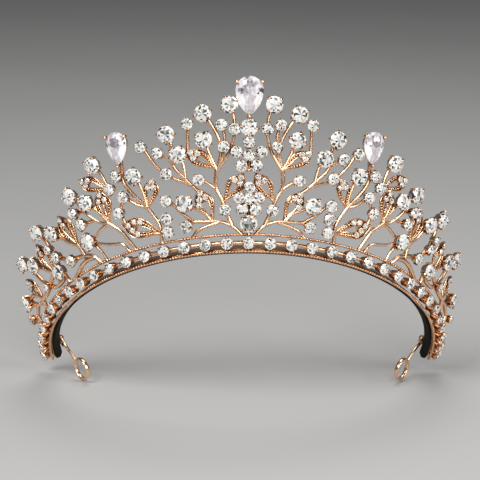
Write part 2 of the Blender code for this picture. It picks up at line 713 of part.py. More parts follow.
def make_loop(side_name):
    """End loop: a wire through its knuckle, bent down to a short tail and to a leg with a round eye."""
    side = SIDES[side_name]
    frame = loop_frame(side)
    bent = KNUCKLE_LENGTH / 2 + SEAT_GAP + LOOP_WIRE_RADIUS
    leg = [(-bent, LOOP_TAIL), (-bent, LOOP_BEND), (LOOP_BEND - bent, 0.0)]
    leg += [(bent - LOOP_BEND, 0.0), (bent, LOOP_BEND)]
    leg += [(0.0, LOOP_LEG_SWAY), (0.0, LOOP_LENGTH - LOOP_EYE_RADIUS)]
    eye = []
    for step in range(LOOP_EYE_STEPS):
        angle = 2 * math.pi * step / LOOP_EYE_STEPS
        eye.append((LOOP_EYE_RADIUS * math.sin(angle), LOOP_LENGTH - LOOP_EYE_RADIUS * math.cos(angle)))

    def bent_wire(points, place, closed):
        path = [place @ Vector((across * MM, down * MM, 0.0)) for across, down in points]
        return wire(path, LOOP_WIRE_RADIUS, sides=RAIL_SIDES, closed=closed)

    twisted = frame @ Matrix.Rotation(math.radians(LOOP_EYE_TWIST) * side, 4, 'Y')
    name = 'end_loop_' + side_name
    piece = united([bent_wire(leg, frame, False), bent_wire(eye, twisted, True)], name, METAL)
    pivot = bpy.data.objects.new(name + '_hinge', None)
    pivot.matrix_world = frame
    PARTS.objects.link(pivot)
    piece.data.transform(frame.inverted())
    piece.parent = pivot


make_band()
make_strip()
make_centre()
for name in SIDES:
    for drawn in SIDE_CASTINGS:
        make_casting(drawn, name)
    make_loop(name)
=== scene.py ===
"""Looks of the bridal tiara: cast stems, beaded leaves, cups, claws and cut crystals."""
import math
import random
from typing import NamedTuple, Sequence

import bmesh
import bpy
from mathutils import Matrix, Vector


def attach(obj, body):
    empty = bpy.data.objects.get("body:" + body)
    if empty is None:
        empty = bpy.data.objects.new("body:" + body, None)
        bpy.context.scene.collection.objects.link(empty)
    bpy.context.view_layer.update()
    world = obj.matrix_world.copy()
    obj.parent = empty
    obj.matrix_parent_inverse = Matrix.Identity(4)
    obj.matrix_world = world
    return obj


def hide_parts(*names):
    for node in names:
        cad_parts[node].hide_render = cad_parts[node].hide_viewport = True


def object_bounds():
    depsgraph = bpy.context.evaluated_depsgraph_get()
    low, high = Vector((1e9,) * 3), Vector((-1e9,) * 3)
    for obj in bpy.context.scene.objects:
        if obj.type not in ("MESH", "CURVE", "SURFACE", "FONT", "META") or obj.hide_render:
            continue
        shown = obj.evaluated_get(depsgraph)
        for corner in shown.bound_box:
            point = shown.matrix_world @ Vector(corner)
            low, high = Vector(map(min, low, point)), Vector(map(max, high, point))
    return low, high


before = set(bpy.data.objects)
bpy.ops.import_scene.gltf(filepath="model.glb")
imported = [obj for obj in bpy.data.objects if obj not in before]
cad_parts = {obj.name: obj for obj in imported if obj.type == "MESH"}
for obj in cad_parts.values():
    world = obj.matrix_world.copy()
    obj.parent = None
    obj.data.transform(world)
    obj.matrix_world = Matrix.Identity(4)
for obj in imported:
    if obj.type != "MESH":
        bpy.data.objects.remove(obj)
CAD_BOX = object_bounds()
CHANCE = random.Random(11)

MM = 0.001

# Band, millimetres, as in the model
BAND_RADIUS = 78.0
BAND_STONES_EACH_SIDE = 17
BAND_STONE_PITCH = 7.63
BAND_STONE_DIAMETER = 4.3
BAND_OVERHANG = 1.6
RAIL_RADIUS = 0.6
UPPER_RAIL_UP = 2.9
LOWER_RAIL_UP = -3.1
BAR_RADIUS = 0.65
BAND_HALF_LENGTH = BAND_STONES_EACH_SIDE * BAND_STONE_PITCH + BAND_OVERHANG

# Crest, millimetres and degrees, as in the model
FLARE = math.radians(37.0)
TILT = Matrix.Rotation(-math.radians(45.0), 4, 'X')
STEM_RADIUS = 0.6
FOOT_SLANT = 0.5
LEAN_RISE = 8.4
RIGHT_LEAN = 0.09
RIGHT_LEAN_FROM = 12.0
RIGHT_LEAN_TO = 46.0
RIGHT_UPRIGHT = math.radians(12.0)
UPRIGHT_TO = 106.0
UPRIGHT_RISE = 5.0
LEAF_BOW = 0.19
LEAF_FULLNESS = 1.35
LARGE = 6.3
MEDIUM = 4.3
SMALL = 3.4
CENTRE_PEAR = (14.0, 10.0)
SIDE_PEAR = (12.0, 8.0)
SEAT_GAP = 0.3
FOOT_UP = UPPER_RAIL_UP + RAIL_RADIUS + STEM_RADIUS * FOOT_SLANT + SEAT_GAP

# Head strip, lining and end loops, millimetres and degrees, as in the model
SLOPE = math.radians(55.0)
STRIP_WIDTH = 4.6
STRIP_THICKNESS = 0.7
LINING_THICKNESS = 0.8
LINING_INSET = 0.9
STRIP_OVERHANG = 1.0
STRIP_START = RAIL_RADIUS + SEAT_GAP
STRIP_END = STRIP_START + STRIP_WIDTH
LINING_DROP = -(STRIP_THICKNESS / 2 + SEAT_GAP + LINING_THICKNESS / 2)
STRIP_HALF_LENGTH = BAND_HALF_LENGTH + STRIP_OVERHANG
LOOP_FROM_END = 8.3
LOOP_ALONG = STRIP_HALF_LENGTH - LOOP_FROM_END
LOOP_WIRE_RADIUS = 0.62
LOOP_DROP = math.radians(56.0)
LOOP_LENGTH = 16.0
LOOP_EYE_RADIUS = 4.2
LOOP_EYE_TWIST = math.radians(20.0)
LOOP_BEND = 0.9
LOOP_LEG_SWAY = 5.0
LOOP_TAIL = 2.2
KNUCKLE_LENGTH = 2.8
KNUCKLE_WALL = 0.4
KNUCKLE_BITE = 0.35

# Stems, rails and bar, millimetres; core, swell and web depth are shares of a radius
STEM_GIRTH = 0.74
BRANCH_GIRTH = 0.6
STOUT_STEM_GIRTH = 0.86
STEM_SWELL = 0.15
SWELL_POWER = 3
STEM_SIDES = 10
WIRE_SIDES = 8
CURVE_STEPS = 4
BAND_STEPS = 160
RAIL_CORE = 0.55
RAIL_BEAD_PITCH = 1.15
RAIL_BEAD_RADIUS = 0.57
BAR_WEB_OUT = -1.1
BAR_WEB_DEPTH = 1.8

# Leaves, millimetres; where a run starts, ends or how far it goes is a share of the leaf's length
LEAF_BAR_HALF = 0.72
STOUT_LEAF_BAR_HALF = 0.82
BROAD_LEAF_BAR_HALF = 1.12
LEAF_BAR_ACROSS = 0.92
LEAF_BAR_OVERRUN = 0.02
LEAF_BAR_TAPER = 0.6
LEAF_STEPS = 16
LEAF_CURVE_STEPS = 2
LEAF_RIM_RADIUS = 0.28
LEAF_RIM_DEPTH = 1.2
LEAF_RIM_OUT = 0.2
LEAF_INNER_RIM_POINTS = 11
LEAF_FLOOR_OUT = -0.2
LEAF_FLOOR_HALF = 0.25
LEAF_BEAD_PITCH = 1.0
LEAF_BEAD_RADIUS = 0.42
LEAF_BEAD_GROWTH = 0.6
LEAF_BEAD_OUT = 0.3
LEAF_BEADS_START = 0.1
LEAF_BEADS_RUN = 0.5
LEAF_BEADS_STEPS = 8
LEAF_PLATE_START = 0.6
LEAF_PLATE_END = 0.97
LEAF_PLATE_STEPS = 8
RIB_START = 0.02
RIB_RUN = 0.6
RIB_STEPS = 40
RIB_PITCH = 0.8
RIB_RADIUS = 0.5
RIB_SWELL = 0.25
RIB_DEPTH = 0.12

# Pave stones, millimetres; a leaf's stones are shares of its length and of the way out to its bars
PAVE_DIAMETER = 2.1
PAVE_FACETS = 8
PAVE_SEAT = ((0.9, -0.4), (1.16, 0.72), (0.98, 0.78))
PAVE_SEAT_SIDES = 12
PAVE_GIRDLE_UP = 0.85
PAVE_BEADS = 4
PAVE_BEAD_RADIUS = 0.25
PAVE_BEAD_AROUND = 1.08
PAVE_BEAD_UP = 0.95
PAVE_BEAD_TURN = 2.0
PAVE_TWO = ((0.88, 0.0), (0.70, 0.0))
PAVE_THREE = ((0.88, 0.0), (0.71, 0.52), (0.71, -0.52))
PAVE_FOUR = ((0.89, 0.0), (0.73, 0.5), (0.72, -0.54), (0.56, -0.9))
PAVE_FIVE = ((0.84, 0.2), (0.7, 0.8), (0.55, 0.94), (0.7, -0.42), (0.55, -0.82))

# Cups, millimetres: shares of the stone's outline and heights, up the wall, over the rim, down the hollow
CUP_BACK = -0.7
BAND_CUP_BACK = -2.0
CUP_RIM = 1.3
ROUND_CUP = (((0.55, 0.0), (0.72, 0.25)), ((0.94, 0.45), (0.98, 0.75), (0.88, 0.8)), ((0.5, 0.7),))
PEAR_CUP = (((0.7, 0.0), (0.86, 0.3)), ((0.96, 0.5), (0.99, 0.8), (0.88, 0.85)), ((0.55, 0.7),))
ROUND_CUP_SIDES = 16
PEAR_CUP_SIDES = 24
GIRDLE_UP = 2.3

# Claws, millimetres at size 1: a prong runs through ways out from the girdle and heights, to a ball at its
# tip; pear claws stand at steps round the girdle from the pear's tip
ROUND_CLAWS = 4
CLAW_SIZE = 1.2
CLAW_LEAN = 0.25
CLAW_SIDES = 6
CLAW_RADII = (0.34, 0.36, 0.36, 0.3)
CLAW_BALL_RADIUS = 0.36
CLAW_RUN = ((-0.3, CUP_RIM - 1.0), (0.12, GIRDLE_UP - 0.6), (0.16, GIRDLE_UP + 0.15))
CLAW_TIP_RISE = 0.55
PEAR_CLAW_STEPS = 80
PEAR_CLAWS = (0, 29, 51)
PEAR_CLAW_SIZE = 1.8
PEAR_CLAW_LEAN = -0.2

# Cut of the stones: rings of scale, height and share of a step; heights and depths in girdle radii
LARGE_FACETS = 12
FACETS = 10
PEAR_FACETS = 20
ROUND_CROWN = ((1.0, -0.04, 0.0), (1.0, 0.05, 0.0), (0.8, 0.24, 0.5), (0.55, 0.40, 0.0))
ROUND_DEPTH = 0.75
PEAR_CROWN = ((1.0, -0.05, 0.0), (1.0, 0.06, 0.0), (0.84, 0.22, 0.5), (0.66, 0.36, 0.0), (0.48, 0.42, 0.5))
PEAR_DEPTH = 0.6

# Painted reflection tones of the facets with their odds, from 0 for black to 1 for white, and painted fires
# from warm to cool
TABLE_PAINTED_REFLECTIONS = ((1.0, 0.92, 0.78, 0.4), (0.8, 0.62, 0.45, 0.15))
TABLE_ODDS = (4, 4, 2, 2)
CROWN_PAINTED_REFLECTIONS = ((1.0, 0.95, 0.5, 0.06), (1.0, 0.75, 0.4, 0.1))
CROWN_ODDS = ((8, 3, 1.5, 3), (5, 3, 2, 2.5))
PLAIN_FIRE = 0.5
FIRE_SPREAD = 0.22

# Zones of a pear's facets for their painted reflections, in shares of its half width and half length
HEAD_SIDE_ACROSS = 0.55
HEAD_SIDE_BOTTOM = 0.1
HEAD_SIDE_TOP = 0.42
FLANK_TOP = 0.16
KITE_ACROSS = 0.34
GREY_ACROSS = 0.45
GREY_TOP = 0.65
HEAD_SIDE_PAINTED_REFLECTIONS = ((1.0, 0.8, 0.45, 0.1), (3, 1, 2, 3))
FLANK_PAINTED_REFLECTION = 1.0
KITE_PAINTED_REFLECTIONS = (0.58, 0.8)
GREY_PAINTED_REFLECTIONS = ((0.7, 0.5, 0.36), (2, 4, 2))
HEAD_PAINTED_REFLECTIONS = ((0.96, 0.82, 0.62, 0.3), (3, 4, 3, 1))
PEAR_FIRES = (0.15, 0.5)


class Leaf(NamedTuple):
    """An open leaf: two beaded bars from base to tip, pave near the tip and at times a ribbed middle."""

    base: tuple
    tip: tuple
    pave: tuple
    ribbed: bool = False
    bar_half: float = LEAF_BAR_HALF


class Casting(NamedTuple):
    """One casting of a side: stems, leaves and the stones that it holds, as (along, up) millimetres."""

    name: str
    root: tuple
    lean: float
    stems: Sequence
    leaves: Sequence = ()
    large: Sequence = ()
    medium: Sequence = ()
    small: Sequence = ()
    girth: float = STEM_GIRTH
    branch_girth: float = BRANCH_GIRTH


INNER = Casting(
    'inner', root=(7.6, 11.9), lean=1.0,
    stems=[
        [(5.6, 6.3), (6.2, 7.9), (6.7, 9.4), (7.6, 11.9), (8.8, 16.0), (10.2, 19.5), (10.2, 23.0),
         (9.8, 26.5)],
        [(9.8, 26.0), (8.6, 31.0), (8.6, 36.0), (10.0, 41.0), (12.6, 46.7)],
        [(9.8, 26.3), (11.6, 32.0), (12.9, 37.4)],
        [(9.7, 26.2), (8.2, 30.5), (7.4, 34.5)],
        [(9.6, 26.1), (6.3, 32.0), (4.8, 37.0), (4.4, 40.7)],
        [(4.4, 40.7), (4.7, 45.0), (5.7, 49.4)],
        [(7.4, 34.5), (7.3, 38.5), (7.9, 42.3)],
        [(17.8, 33.6), (17.4, 38.5), (17.0, 43.5)],
        [(10.1, 19.3), (12.8, 21.9), (15.2, 23.2)],
    ],
    leaves=[
        Leaf((7.8, 15.2), (1.9, 24.6), PAVE_THREE),
        Leaf((10.2, 26.8), (18.0, 34.0), PAVE_THREE),
    ],
    large=[(5.7, 49.4), (12.6, 46.7), (12.9, 37.4)],
    medium=[(17.0, 43.5), (7.9, 42.3), (4.4, 40.7), (7.4, 34.5), (15.2, 23.2), (7.6, 11.9)],
)

MID = Casting(
    'mid', root=(12.0, 8.2), lean=3.0,
    stems=[
        [(3.4, FOOT_UP), (4.2, 5.0), (5.8, 6.3), (8.6, 7.6), (11.2, 8.1), (15.0, 8.2), (18.3, 8.4),
         (20.8, 7.2)],
        [(10.0, 7.6), (14.0, 6.5), (17.6, 5.2), (18.7, FOOT_UP)],
        [(12.6, 8.6), (14.9, 11.5), (18.0, 13.3), (20.7, 15.2)],
        [(18.6, 8.5), (20.3, 10.0), (22.7, 12.4), (25.0, 15.4), (26.6, 16.8)],
        [(16.3, 19.2), (17.8, 20.8), (20.8, 24.9), (23.0, 28.2), (23.8, 32.0), (23.4, 36.0), (24.1, 40.4)],
        [(23.4, 29.6), (25.0, 32.0), (27.3, 34.1)],
        [(18.0, 21.2), (21.0, 23.0), (25.2, 25.4), (28.0, 28.8), (29.9, 32.6), (31.7, 37.3)],
        [(20.0, 24.0), (20.3, 28.5), (21.3, 32.8)],
    ],
    leaves=[Leaf((11.8, 8.3), (16.4, 19.6), PAVE_FOUR)],
    large=[(21.3, 32.8), (24.1, 40.4), (20.7, 15.2)],
    medium=[(27.3, 34.1), (25.3, 26.4), (31.7, 37.3), (26.6, 16.8), (20.8, 7.2)],
    girth=BRANCH_GIRTH,
)

LEAF = Casting(
    'leaf', root=(30.7, FOOT_UP), lean=0.5,
    stems=[
        [(30.9, FOOT_UP), (30.4, 8.5), (31.0, 11.4), (33.4, 16.8), (35.8, 20.6), (37.8, 24.5),
         (38.8, 28.0), (38.3, 31.5), (37.8, 35.0), (37.4, 38.5)],
        [(33.3, 17.0), (33.4, 22.0), (34.6, 28.6)],
        [(33.4, 16.8), (36.6, 18.6), (39.7, 22.4)],
        [(38.7, 27.6), (39.9, 30.2)],
        [(39.7, 22.4), (41.6, 20.0), (42.6, 16.6), (42.2, 12.6)],
        [(30.9, 11.2), (27.4, 10.8)],
        [(30.6, 7.0), (27.6, 6.2)],
    ],
    leaves=[
        Leaf((32.7, 16.6), (29.5, 26.2), PAVE_THREE),
        Leaf((31.0, 6.6), (43.4, 12.9), PAVE_FIVE, bar_half=BROAD_LEAF_BAR_HALF),
    ],
    large=[(34.6, 28.6)],
    medium=[(39.9, 30.3), (39.7, 22.4), (42.6, 17.3), (27.2, 11.2), (27.5, 6.4)],
)

OUTER = Casting(
    'outer', root=(47.0, 13.9), lean=0.5,
    stems=[
        [(41.8, FOOT_UP), (43.4, 8.0), (44.9, 11.4), (47.0, 13.9), (48.4, 15.7)],
        [(48.2, 15.4), (49.6, 19.0), (51.3, 22.4), (52.7, 25.3)],
        [(48.2, 15.5), (50.8, 16.4), (53.6, 19.6), (55.6, 23.6), (57.3, 29.8)],
        [(55.0, 22.4), (58.6, 23.6)],
        [(52.4, 18.2), (57.4, 18.6)],
        [(47.6, 27.3), (46.2, 26.8), (44.4, 27.2)],
        [(44.4, 27.0), (44.7, 31.5), (46.1, 37.0)],
        [(48.2, 15.2), (51.4, 14.4), (54.2, 13.0), (57.6, 11.9)],
        [(57.6, 11.9), (54.0, 9.4), (50.0, 7.8), (46.0, 6.6), (44.4, FOOT_UP)],
        [(57.4, 11.5), (55.4, 7.6), (54.4, FOOT_UP)],
    ],
    leaves=[
        Leaf((47.8, 15.2), (47.6, 27.6), PAVE_THREE, ribbed=True),
        Leaf((44.6, 27.0), (52.8, 33.8), PAVE_THREE),
    ],
    large=[(46.1, 37.0), (52.7, 25.3), (57.3, 29.8), (57.6, 11.9)],
    medium=[(43.1, 26.8), (58.6, 23.6), (57.4, 18.6)],
)

SIDE = Casting(
    'side', root=(62.0, 8.0), lean=-5.0,
    stems=[
        [(57.6, FOOT_UP), (59.2, 6.4), (62.0, 8.0), (65.0, 8.8), (68.0, 9.2)],
        [(59.0, 5.9), (62.4, 6.3), (65.8, 5.6), (68.6, FOOT_UP)],
        [(62.2, 7.4), (62.7, 10.4), (62.8, 13.4)],
        [(62.8, 13.0), (66.2, 16.5), (69.2, 22.2)],
        [(68.0, 9.2), (71.2, 11.4), (73.6, 14.6), (74.6, 18.6), (74.8, 22.4), (74.6, 26.4)],
    ],
    leaves=[Leaf((62.7, 12.8), (64.2, 26.0), PAVE_TWO, ribbed=True, bar_half=STOUT_LEAF_BAR_HALF)],
    large=[(69.2, 22.2), (74.6, 26.4)],
    medium=[(73.4, 14.4), (68.0, 9.2)],
    small=[(74.6, 18.6)],
    girth=STOUT_STEM_GIRTH,
    branch_girth=STOUT_STEM_GIRTH,
)

END = Casting(
    'end', root=(80.0, 9.6), lean=0.0,
    stems=[
        [(75.6, FOOT_UP), (76.2, 8.3), (78.2, 8.8), (80.0, 9.8)],
        [(80.2, 9.8), (83.4, 12.6), (86.5, 17.0)],
        [(80.0, 9.6), (83.5, 8.6), (87.0, 7.2), (91.0, 6.2), (95.5, 6.4)],
        [(87.0, 7.4), (89.8, 12.0), (91.8, 20.8)],
        [(95.2, 6.3), (98.5, 6.2), (102.6, 7.8), (106.1, 11.4)],
        [(102.0, 7.4), (106.5, 6.2), (111.4, 6.6)],
        [(76.0, 6.6), (78.6, 5.0), (83.0, 5.0), (87.0, 7.0)],
        [(95.3, 6.6), (98.6, 9.8), (102.4, 11.6), (106.1, 11.6)],
        [(97.4, FOOT_UP), (96.4, 6.4)],
        [(109.0, FOOT_UP), (108.6, 6.4)],
    ],
    leaves=[
        Leaf((80.0, 9.4), (81.2, 22.4), PAVE_TWO, bar_half=STOUT_LEAF_BAR_HALF),
        Leaf((95.2, 6.2), (98.0, 17.0), PAVE_THREE, bar_half=STOUT_LEAF_BAR_HALF),
    ],
    large=[(76.2, 8.3), (86.5, 17.0), (91.8, 20.8), (106.1, 11.4)],
    small=[(87.0, 7.2), (111.4, 6.6)],
    girth=STOUT_STEM_GIRTH,
    branch_girth=STOUT_STEM_GIRTH,
)

SIDE_CASTINGS = (INNER, MID, LEAF, OUTER, SIDE, END)
SIDES = {'left': -1, 'right': 1}

# Middle of the front, millimetres
BIG_STONE_UP = 6.9
# The big centre stone's table and inner crown get darker painted reflections.
BIG_STONE_PAINTED_REFLECTION_SCALE = 0.6
FLOWER_MIDDLE = (0.0, 15.8)
FLOWER_PETALS = [(0.0, 19.8), (-3.0, 16.2), (3.0, 16.2), (-2.1, 12.2), (2.1, 12.2)]
COLUMN_FOOT_UP = 26.6
COLUMN_LARGE_UP = 41.2
COLUMN_MIDDLE_UPS = (36.0, 31.4)
COLUMN_TWIGS = [(-3.5, 32.6), (3.5, 32.6), (-2.2, 27.6), (2.2, 27.6)]
TWIG_DROP = 1.6
PEAR_STEM_BITE = 3.0
CENTRE_PEAR_AT = (0.0, 52.4)
SIDE_PEAR_AT = (37.2, 39.9)
SIDE_PEAR_TURN = math.radians(11.0)


def ramped(value, start, end):
    """Share of the way from start to end, held between 0 and 1."""
    return min(1.0, max(0.0, (value - start) / (end - start)))


def flat_to_cone(along, up, out):
    """A point of the flat drawing wrapped on the flaring cone, with the ways up the crest and out of it.

    The right half of the crest leans a little towards the middle, and its far end stands more upright.
    """
    height = max(0.0, up - FOOT_UP)
    along -= RIGHT_LEAN * ramped(along, RIGHT_LEAN_FROM, RIGHT_LEAN_TO) * height
    upright = ramped(along, RIGHT_LEAN_TO, UPRIGHT_TO) * ramped(height, 0.0, UPRIGHT_RISE)
    flare = FLARE - RIGHT_UPRIGHT * upright
    angle = along / BAND_RADIUS
    away = Vector((math.sin(angle), -math.cos(angle), 0.0))
    rise = away * math.sin(flare) + Vector((0.0, 0.0, math.cos(flare)))
    face = away * math.cos(flare) - Vector((0.0, 0.0, math.sin(flare)))
    return away * BAND_RADIUS + rise * up + face * out, rise, face


def strip_profile(slide, lift):
    """Radius and height on the head strip's section: slide inwards, lift off the head."""
    radius = BAND_RADIUS + LOWER_RAIL_UP * math.sin(FLARE)
    height = LOWER_RAIL_UP * math.cos(FLARE)
    radius += -slide * math.cos(SLOPE) + lift * math.sin(SLOPE)
    height += slide * math.sin(SLOPE) + lift * math.cos(SLOPE)
    return radius, height


seat_radius, seat_height = strip_profile((STRIP_START + STRIP_END - LINING_INSET) / 2,
                                         LINING_DROP - LINING_THICKNESS / 2)
SEAT = Vector((0.0, -seat_radius, seat_height))


def to_world(point):
    """Worn pose, in metres, with the origin where the lining's front sits on the head."""
    return TILT @ ((point - SEAT) * MM)


def crest_frame(along, up, out=0.0):
    """World matrix on the crest, in millimetres: X along the band, Y up the crest, Z out of its face."""
    point, rise, face = flat_to_cone(along, up, out)
    turn = Matrix((rise.cross(face), rise, face)).transposed().to_4x4()
    return Matrix.Translation(to_world(point)) @ TILT @ turn @ Matrix.Scale(MM, 4)


def leaned(casting, side, spot):
    """Mirror a drawn spot to its side and lean it about the casting's root, as a hand-bent pair leans."""
    angle = math.radians(casting.lean) * -side
    across = spot[0] - casting.root[0]
    up = spot[1] - casting.root[1]
    angle *= ramped(spot[1] - FOOT_UP, 0.0, LEAN_RISE)
    along = casting.root[0] + across * math.cos(angle) - up * math.sin(angle)
    raised = casting.root[1] + across * math.sin(angle) + up * math.cos(angle)
    return along * side, raised


def rounded(points, steps):
    """Points on a smooth curve through the drawn points."""
    knots = [Vector(point) for point in points]
    padded = [knots[0] * 2 - knots[1]] + knots + [knots[-1] * 2 - knots[-2]]
    curve = []
    for before, start, end, after in zip(padded, padded[1:], padded[2:], padded[3:]):
        for step in range(steps):
            t = step / steps
            pull = (end - before) * t + (before * 2 - start * 5 + end * 4 - after) * t * t
            pull += (start * 3 - before - end * 3 + after) * t ** 3
            curve.append(start + pull / 2)
    return curve + [knots[-1]]


class Shape:
    """Closed surfaces gathered for one piece, with a painted reflection tone and a painted fire for each
    face of a stone.
    """

    def __init__(self):
        self.points = []
        self.faces = []
        self.painted_reflections = []

    def add(self, points, faces, painted_reflections=None):
        """Add a surface by its own points and faces."""
        start = len(self.points)
        self.points += points
        self.faces += [[start + corner for corner in face] for face in faces]
        self.painted_reflections += painted_reflections or []

    def rings(self, rings, closed=False):
        """Skin over rings of as many points each, with flat ends unless the last meets the first."""
        count = len(rings[0])
        faces = []
        for row in range(len(rings) if closed else len(rings) - 1):
            low = row * count
            high = (row + 1) % len(rings) * count
            for step in range(count):
                after = (step + 1) % count
                faces.append([low + step, low + after, high + after, high + step])
        if not closed:
            last = (len(rings) - 1) * count
            faces.append(list(range(count))[::-1])
            faces.append(list(range(last, last + count)))
        self.add([point for ring in rings for point in ring], faces)


def circle(count, turn=0.0):
    """Cosines and sines round a circle."""
    angles = [turn + 2 * math.pi * step / count for step in range(count)]
    return [(math.cos(angle), math.sin(angle)) for angle in angles]


def tube(shape, path, radii, sides=WIRE_SIDES, closed=False, flat=1.0):
    """A wire through world points, each with the way out of its surface; flat is depth over width."""
    rings = []
    for number, (point, out) in enumerate(path):
        ahead = path[(number + 1) % len(path)] if closed else path[min(number + 1, len(path) - 1)]
        behind = path[number - 1] if closed else path[max(number - 1, 0)]
        run = (ahead[0] - behind[0]).normalized()
        out = (out - run * out.dot(run)).normalized()
        across = run.cross(out)
        radius = radii[number] * MM
        rings.append([point + (across * c + out * s * flat) * radius for c, s in circle(sides)])
    shape.rings(rings, closed)


def on_crest(along, up, out):
    """World point on the crest, with the way out of its face."""
    place = crest_frame(along, up, out)
    return place.translation, place.col[2].xyz.normalized()


def crest_path(points, steps=CURVE_STEPS, out=0.0):
    """World points, with the way out, of a smooth line laid on the crest."""
    curve = rounded([(along, up, 0.0) for along, up in points], steps)
    return [on_crest(spot.x, spot.y, out) for spot in curve]


def band_line(up, out=0.0):
    """World points, with the way out, along the band at one height."""
    shares = [2 * step / BAND_STEPS - 1 for step in range(BAND_STEPS + 1)]
    return [on_crest(BAND_HALF_LENGTH * share, up, out) for share in shares]


def spaced(path, pitch):
    """Points at an even pitch along a world path, from half a pitch in."""
    spots = []
    due = pitch * MM / 2
    walked = 0.0
    for (start, _), (end, _) in zip(path, path[1:]):
        length = (end - start).length
        while due <= walked + length:
            spots.append(start.lerp(end, (due - walked) / length))
            due += pitch * MM
        walked += length
    return spots


def ball_template(subdivisions):
    """Points and faces of a small ball of radius 1."""
    ball = bmesh.new()
    bmesh.ops.create_icosphere(ball, subdivisions=subdivisions, radius=1.0)
    points = [vert.co.copy() for vert in ball.verts]
    faces = [[vert.index for vert in face.verts] for face in ball.faces]
    ball.free()
    return points, faces


BALL = ball_template(subdivisions=2)


def bead(shape, centre, radius):
    """A small ball."""
    points, faces = BALL
    shape.add([centre + point * (radius * MM) for point in points], faces)


def turned(shape, profile, sides, place, closed=False):
    """A shape turned about the place's Z from radii and heights, with flat ends or a closed profile."""
    rings = [[place @ Vector((radius * c, radius * s, height)) for c, s in circle(sides)]
             for radius, height in profile]
    shape.rings(rings, closed)


def cut_stone(shape, place, outline, crown, depth, tone):
    """A faceted stone: rings of triangles from the girdle to the table, and a cone below to the culet.

    The outline gives the girdle for a share of a step; crown holds rings of scale, height and share of a
    step, from the girdle up to the table. The painted reflection tone is asked for each facet by step, row
    and middle.
    """
    rings = [[Vector((x * scale, y * scale, height)) for x, y in outline(shift)]
             for scale, height, shift in crown]
    count = len(rings[0])
    points = [point for ring in rings for point in ring]
    faces, painted_reflections = [], []

    def facet(step, row, *corners):
        middle = (points[corners[0]] + points[corners[1]] + points[corners[2]]) / 3
        faces.append(list(corners))
        painted_reflections.append(tone(step, row, middle))

    for row in range(len(rings) - 1):
        low, high = row * count, (row + 1) * count
        forward = crown[row + 1][2] > crown[row][2]
        for step in range(count):
            after = (step + 1) % count
            if forward:
                facet(step, row, low + step, low + after, high + step)
                facet(step, row, low + after, high + after, high + step)
            else:
                facet(step, row, low + step, high + after, high + step)
                facet(step, row, low + step, low + after, high + after)
    top = (len(rings) - 1) * count
    points.append(sum(rings[-1], Vector()) / count)
    points.append(Vector((0.0, 0.0, -depth)))
    for step in range(count):
        after = (step + 1) % count
        facet(step, len(rings) - 1, top + step, top + after, len(points) - 2)
        facet(step, 0, after, step, len(points) - 1)
    shape.add([place @ point for point in points], faces, painted_reflections)


def round_stone(shape, place, diameter, facets, painted_reflection_scale=1.0):
    """Round brilliant with its girdle in the place's XY plane; painted_reflection_scale dims the painted
    reflections of its table and inner crown.
    """
    radius = diameter / 2
    turn = CHANCE.uniform(0.0, math.pi)

    def outline(shift):
        return [(radius * c, radius * s) for c, s in circle(facets, turn + shift * 2 * math.pi / facets)]

    def tone(step, row, middle):
        fire = PLAIN_FIRE + CHANCE.uniform(-FIRE_SPREAD, FIRE_SPREAD)
        if row == len(crown) - 1:
            return painted_reflection_scale * CHANCE.choices(TABLE_PAINTED_REFLECTIONS[step % 2], TABLE_ODDS)[0], fire
        inner = row > 1
        dim = painted_reflection_scale if inner else 1.0
        return dim * CHANCE.choices(CROWN_PAINTED_REFLECTIONS[inner], CROWN_ODDS[inner])[0], fire

    crown = [(scale, height * radius, shift) for scale, height, shift in ROUND_CROWN]
    cut_stone(shape, place, outline, crown, ROUND_DEPTH * radius, tone)


def pear_girdle(length, width, count, shift):
    """Points round a pear, tip down, from the tip: a half round head and two bowed flanks."""
    radius = width / 2
    centre = length / 2 - radius
    reach = centre + length / 2
    bow = (radius * radius + reach * reach) / width
    drop = math.asin(reach / bow)
    flank = bow * drop
    head = math.pi * radius
    spots = []
    for step in range(count):
        walked = ((step + shift) / count % 1.0) * (2 * flank + head)
        if flank <= walked <= flank + head:
            angle = (walked - flank) / radius
            spots.append((radius * math.cos(angle), centre + radius * math.sin(angle)))
        else:
            side = 1 if walked < flank else -1
            left = flank - walked if side > 0 else walked - flank - head
            angle = left / bow
            spots.append((side * (radius - bow * (1.0 - math.cos(angle))), centre - bow * math.sin(angle)))
    return spots


def pear_stone(shape, place, size):
    """Pear brilliant with its girdle in the place's XY plane, tip down.

    Painted reflections: dark facets lie at the two sides of the head, grey ones in the upper table, white
    ones on the flanks and lilac ones in a kite between them.
    """
    length, width = size

    def outline(shift):
        return pear_girdle(length, width, PEAR_FACETS, shift)

    def tone(step, row, middle):
        across = abs(middle.x) * 2 / width
        up = middle.y * 2 / length
        lilac = CHANCE.uniform(*PEAR_FIRES)
        if across > HEAD_SIDE_ACROSS and HEAD_SIDE_BOTTOM < up < HEAD_SIDE_TOP:
            return CHANCE.choices(*HEAD_SIDE_PAINTED_REFLECTIONS)[0], lilac
        if up < FLANK_TOP:
            if across > KITE_ACROSS:
                return FLANK_PAINTED_REFLECTION, PLAIN_FIRE
            return CHANCE.uniform(*KITE_PAINTED_REFLECTIONS), lilac
        if across < GREY_ACROSS and up < GREY_TOP:
            return CHANCE.choices(*GREY_PAINTED_REFLECTIONS)[0], lilac
        return CHANCE.choices(*HEAD_PAINTED_REFLECTIONS)[0], lilac

    half = width / 2
    crown = [(scale, height * half, shift) for scale, height, shift in PEAR_CROWN]
    cut_stone(shape, place, outline, crown, PEAR_DEPTH * half, tone)


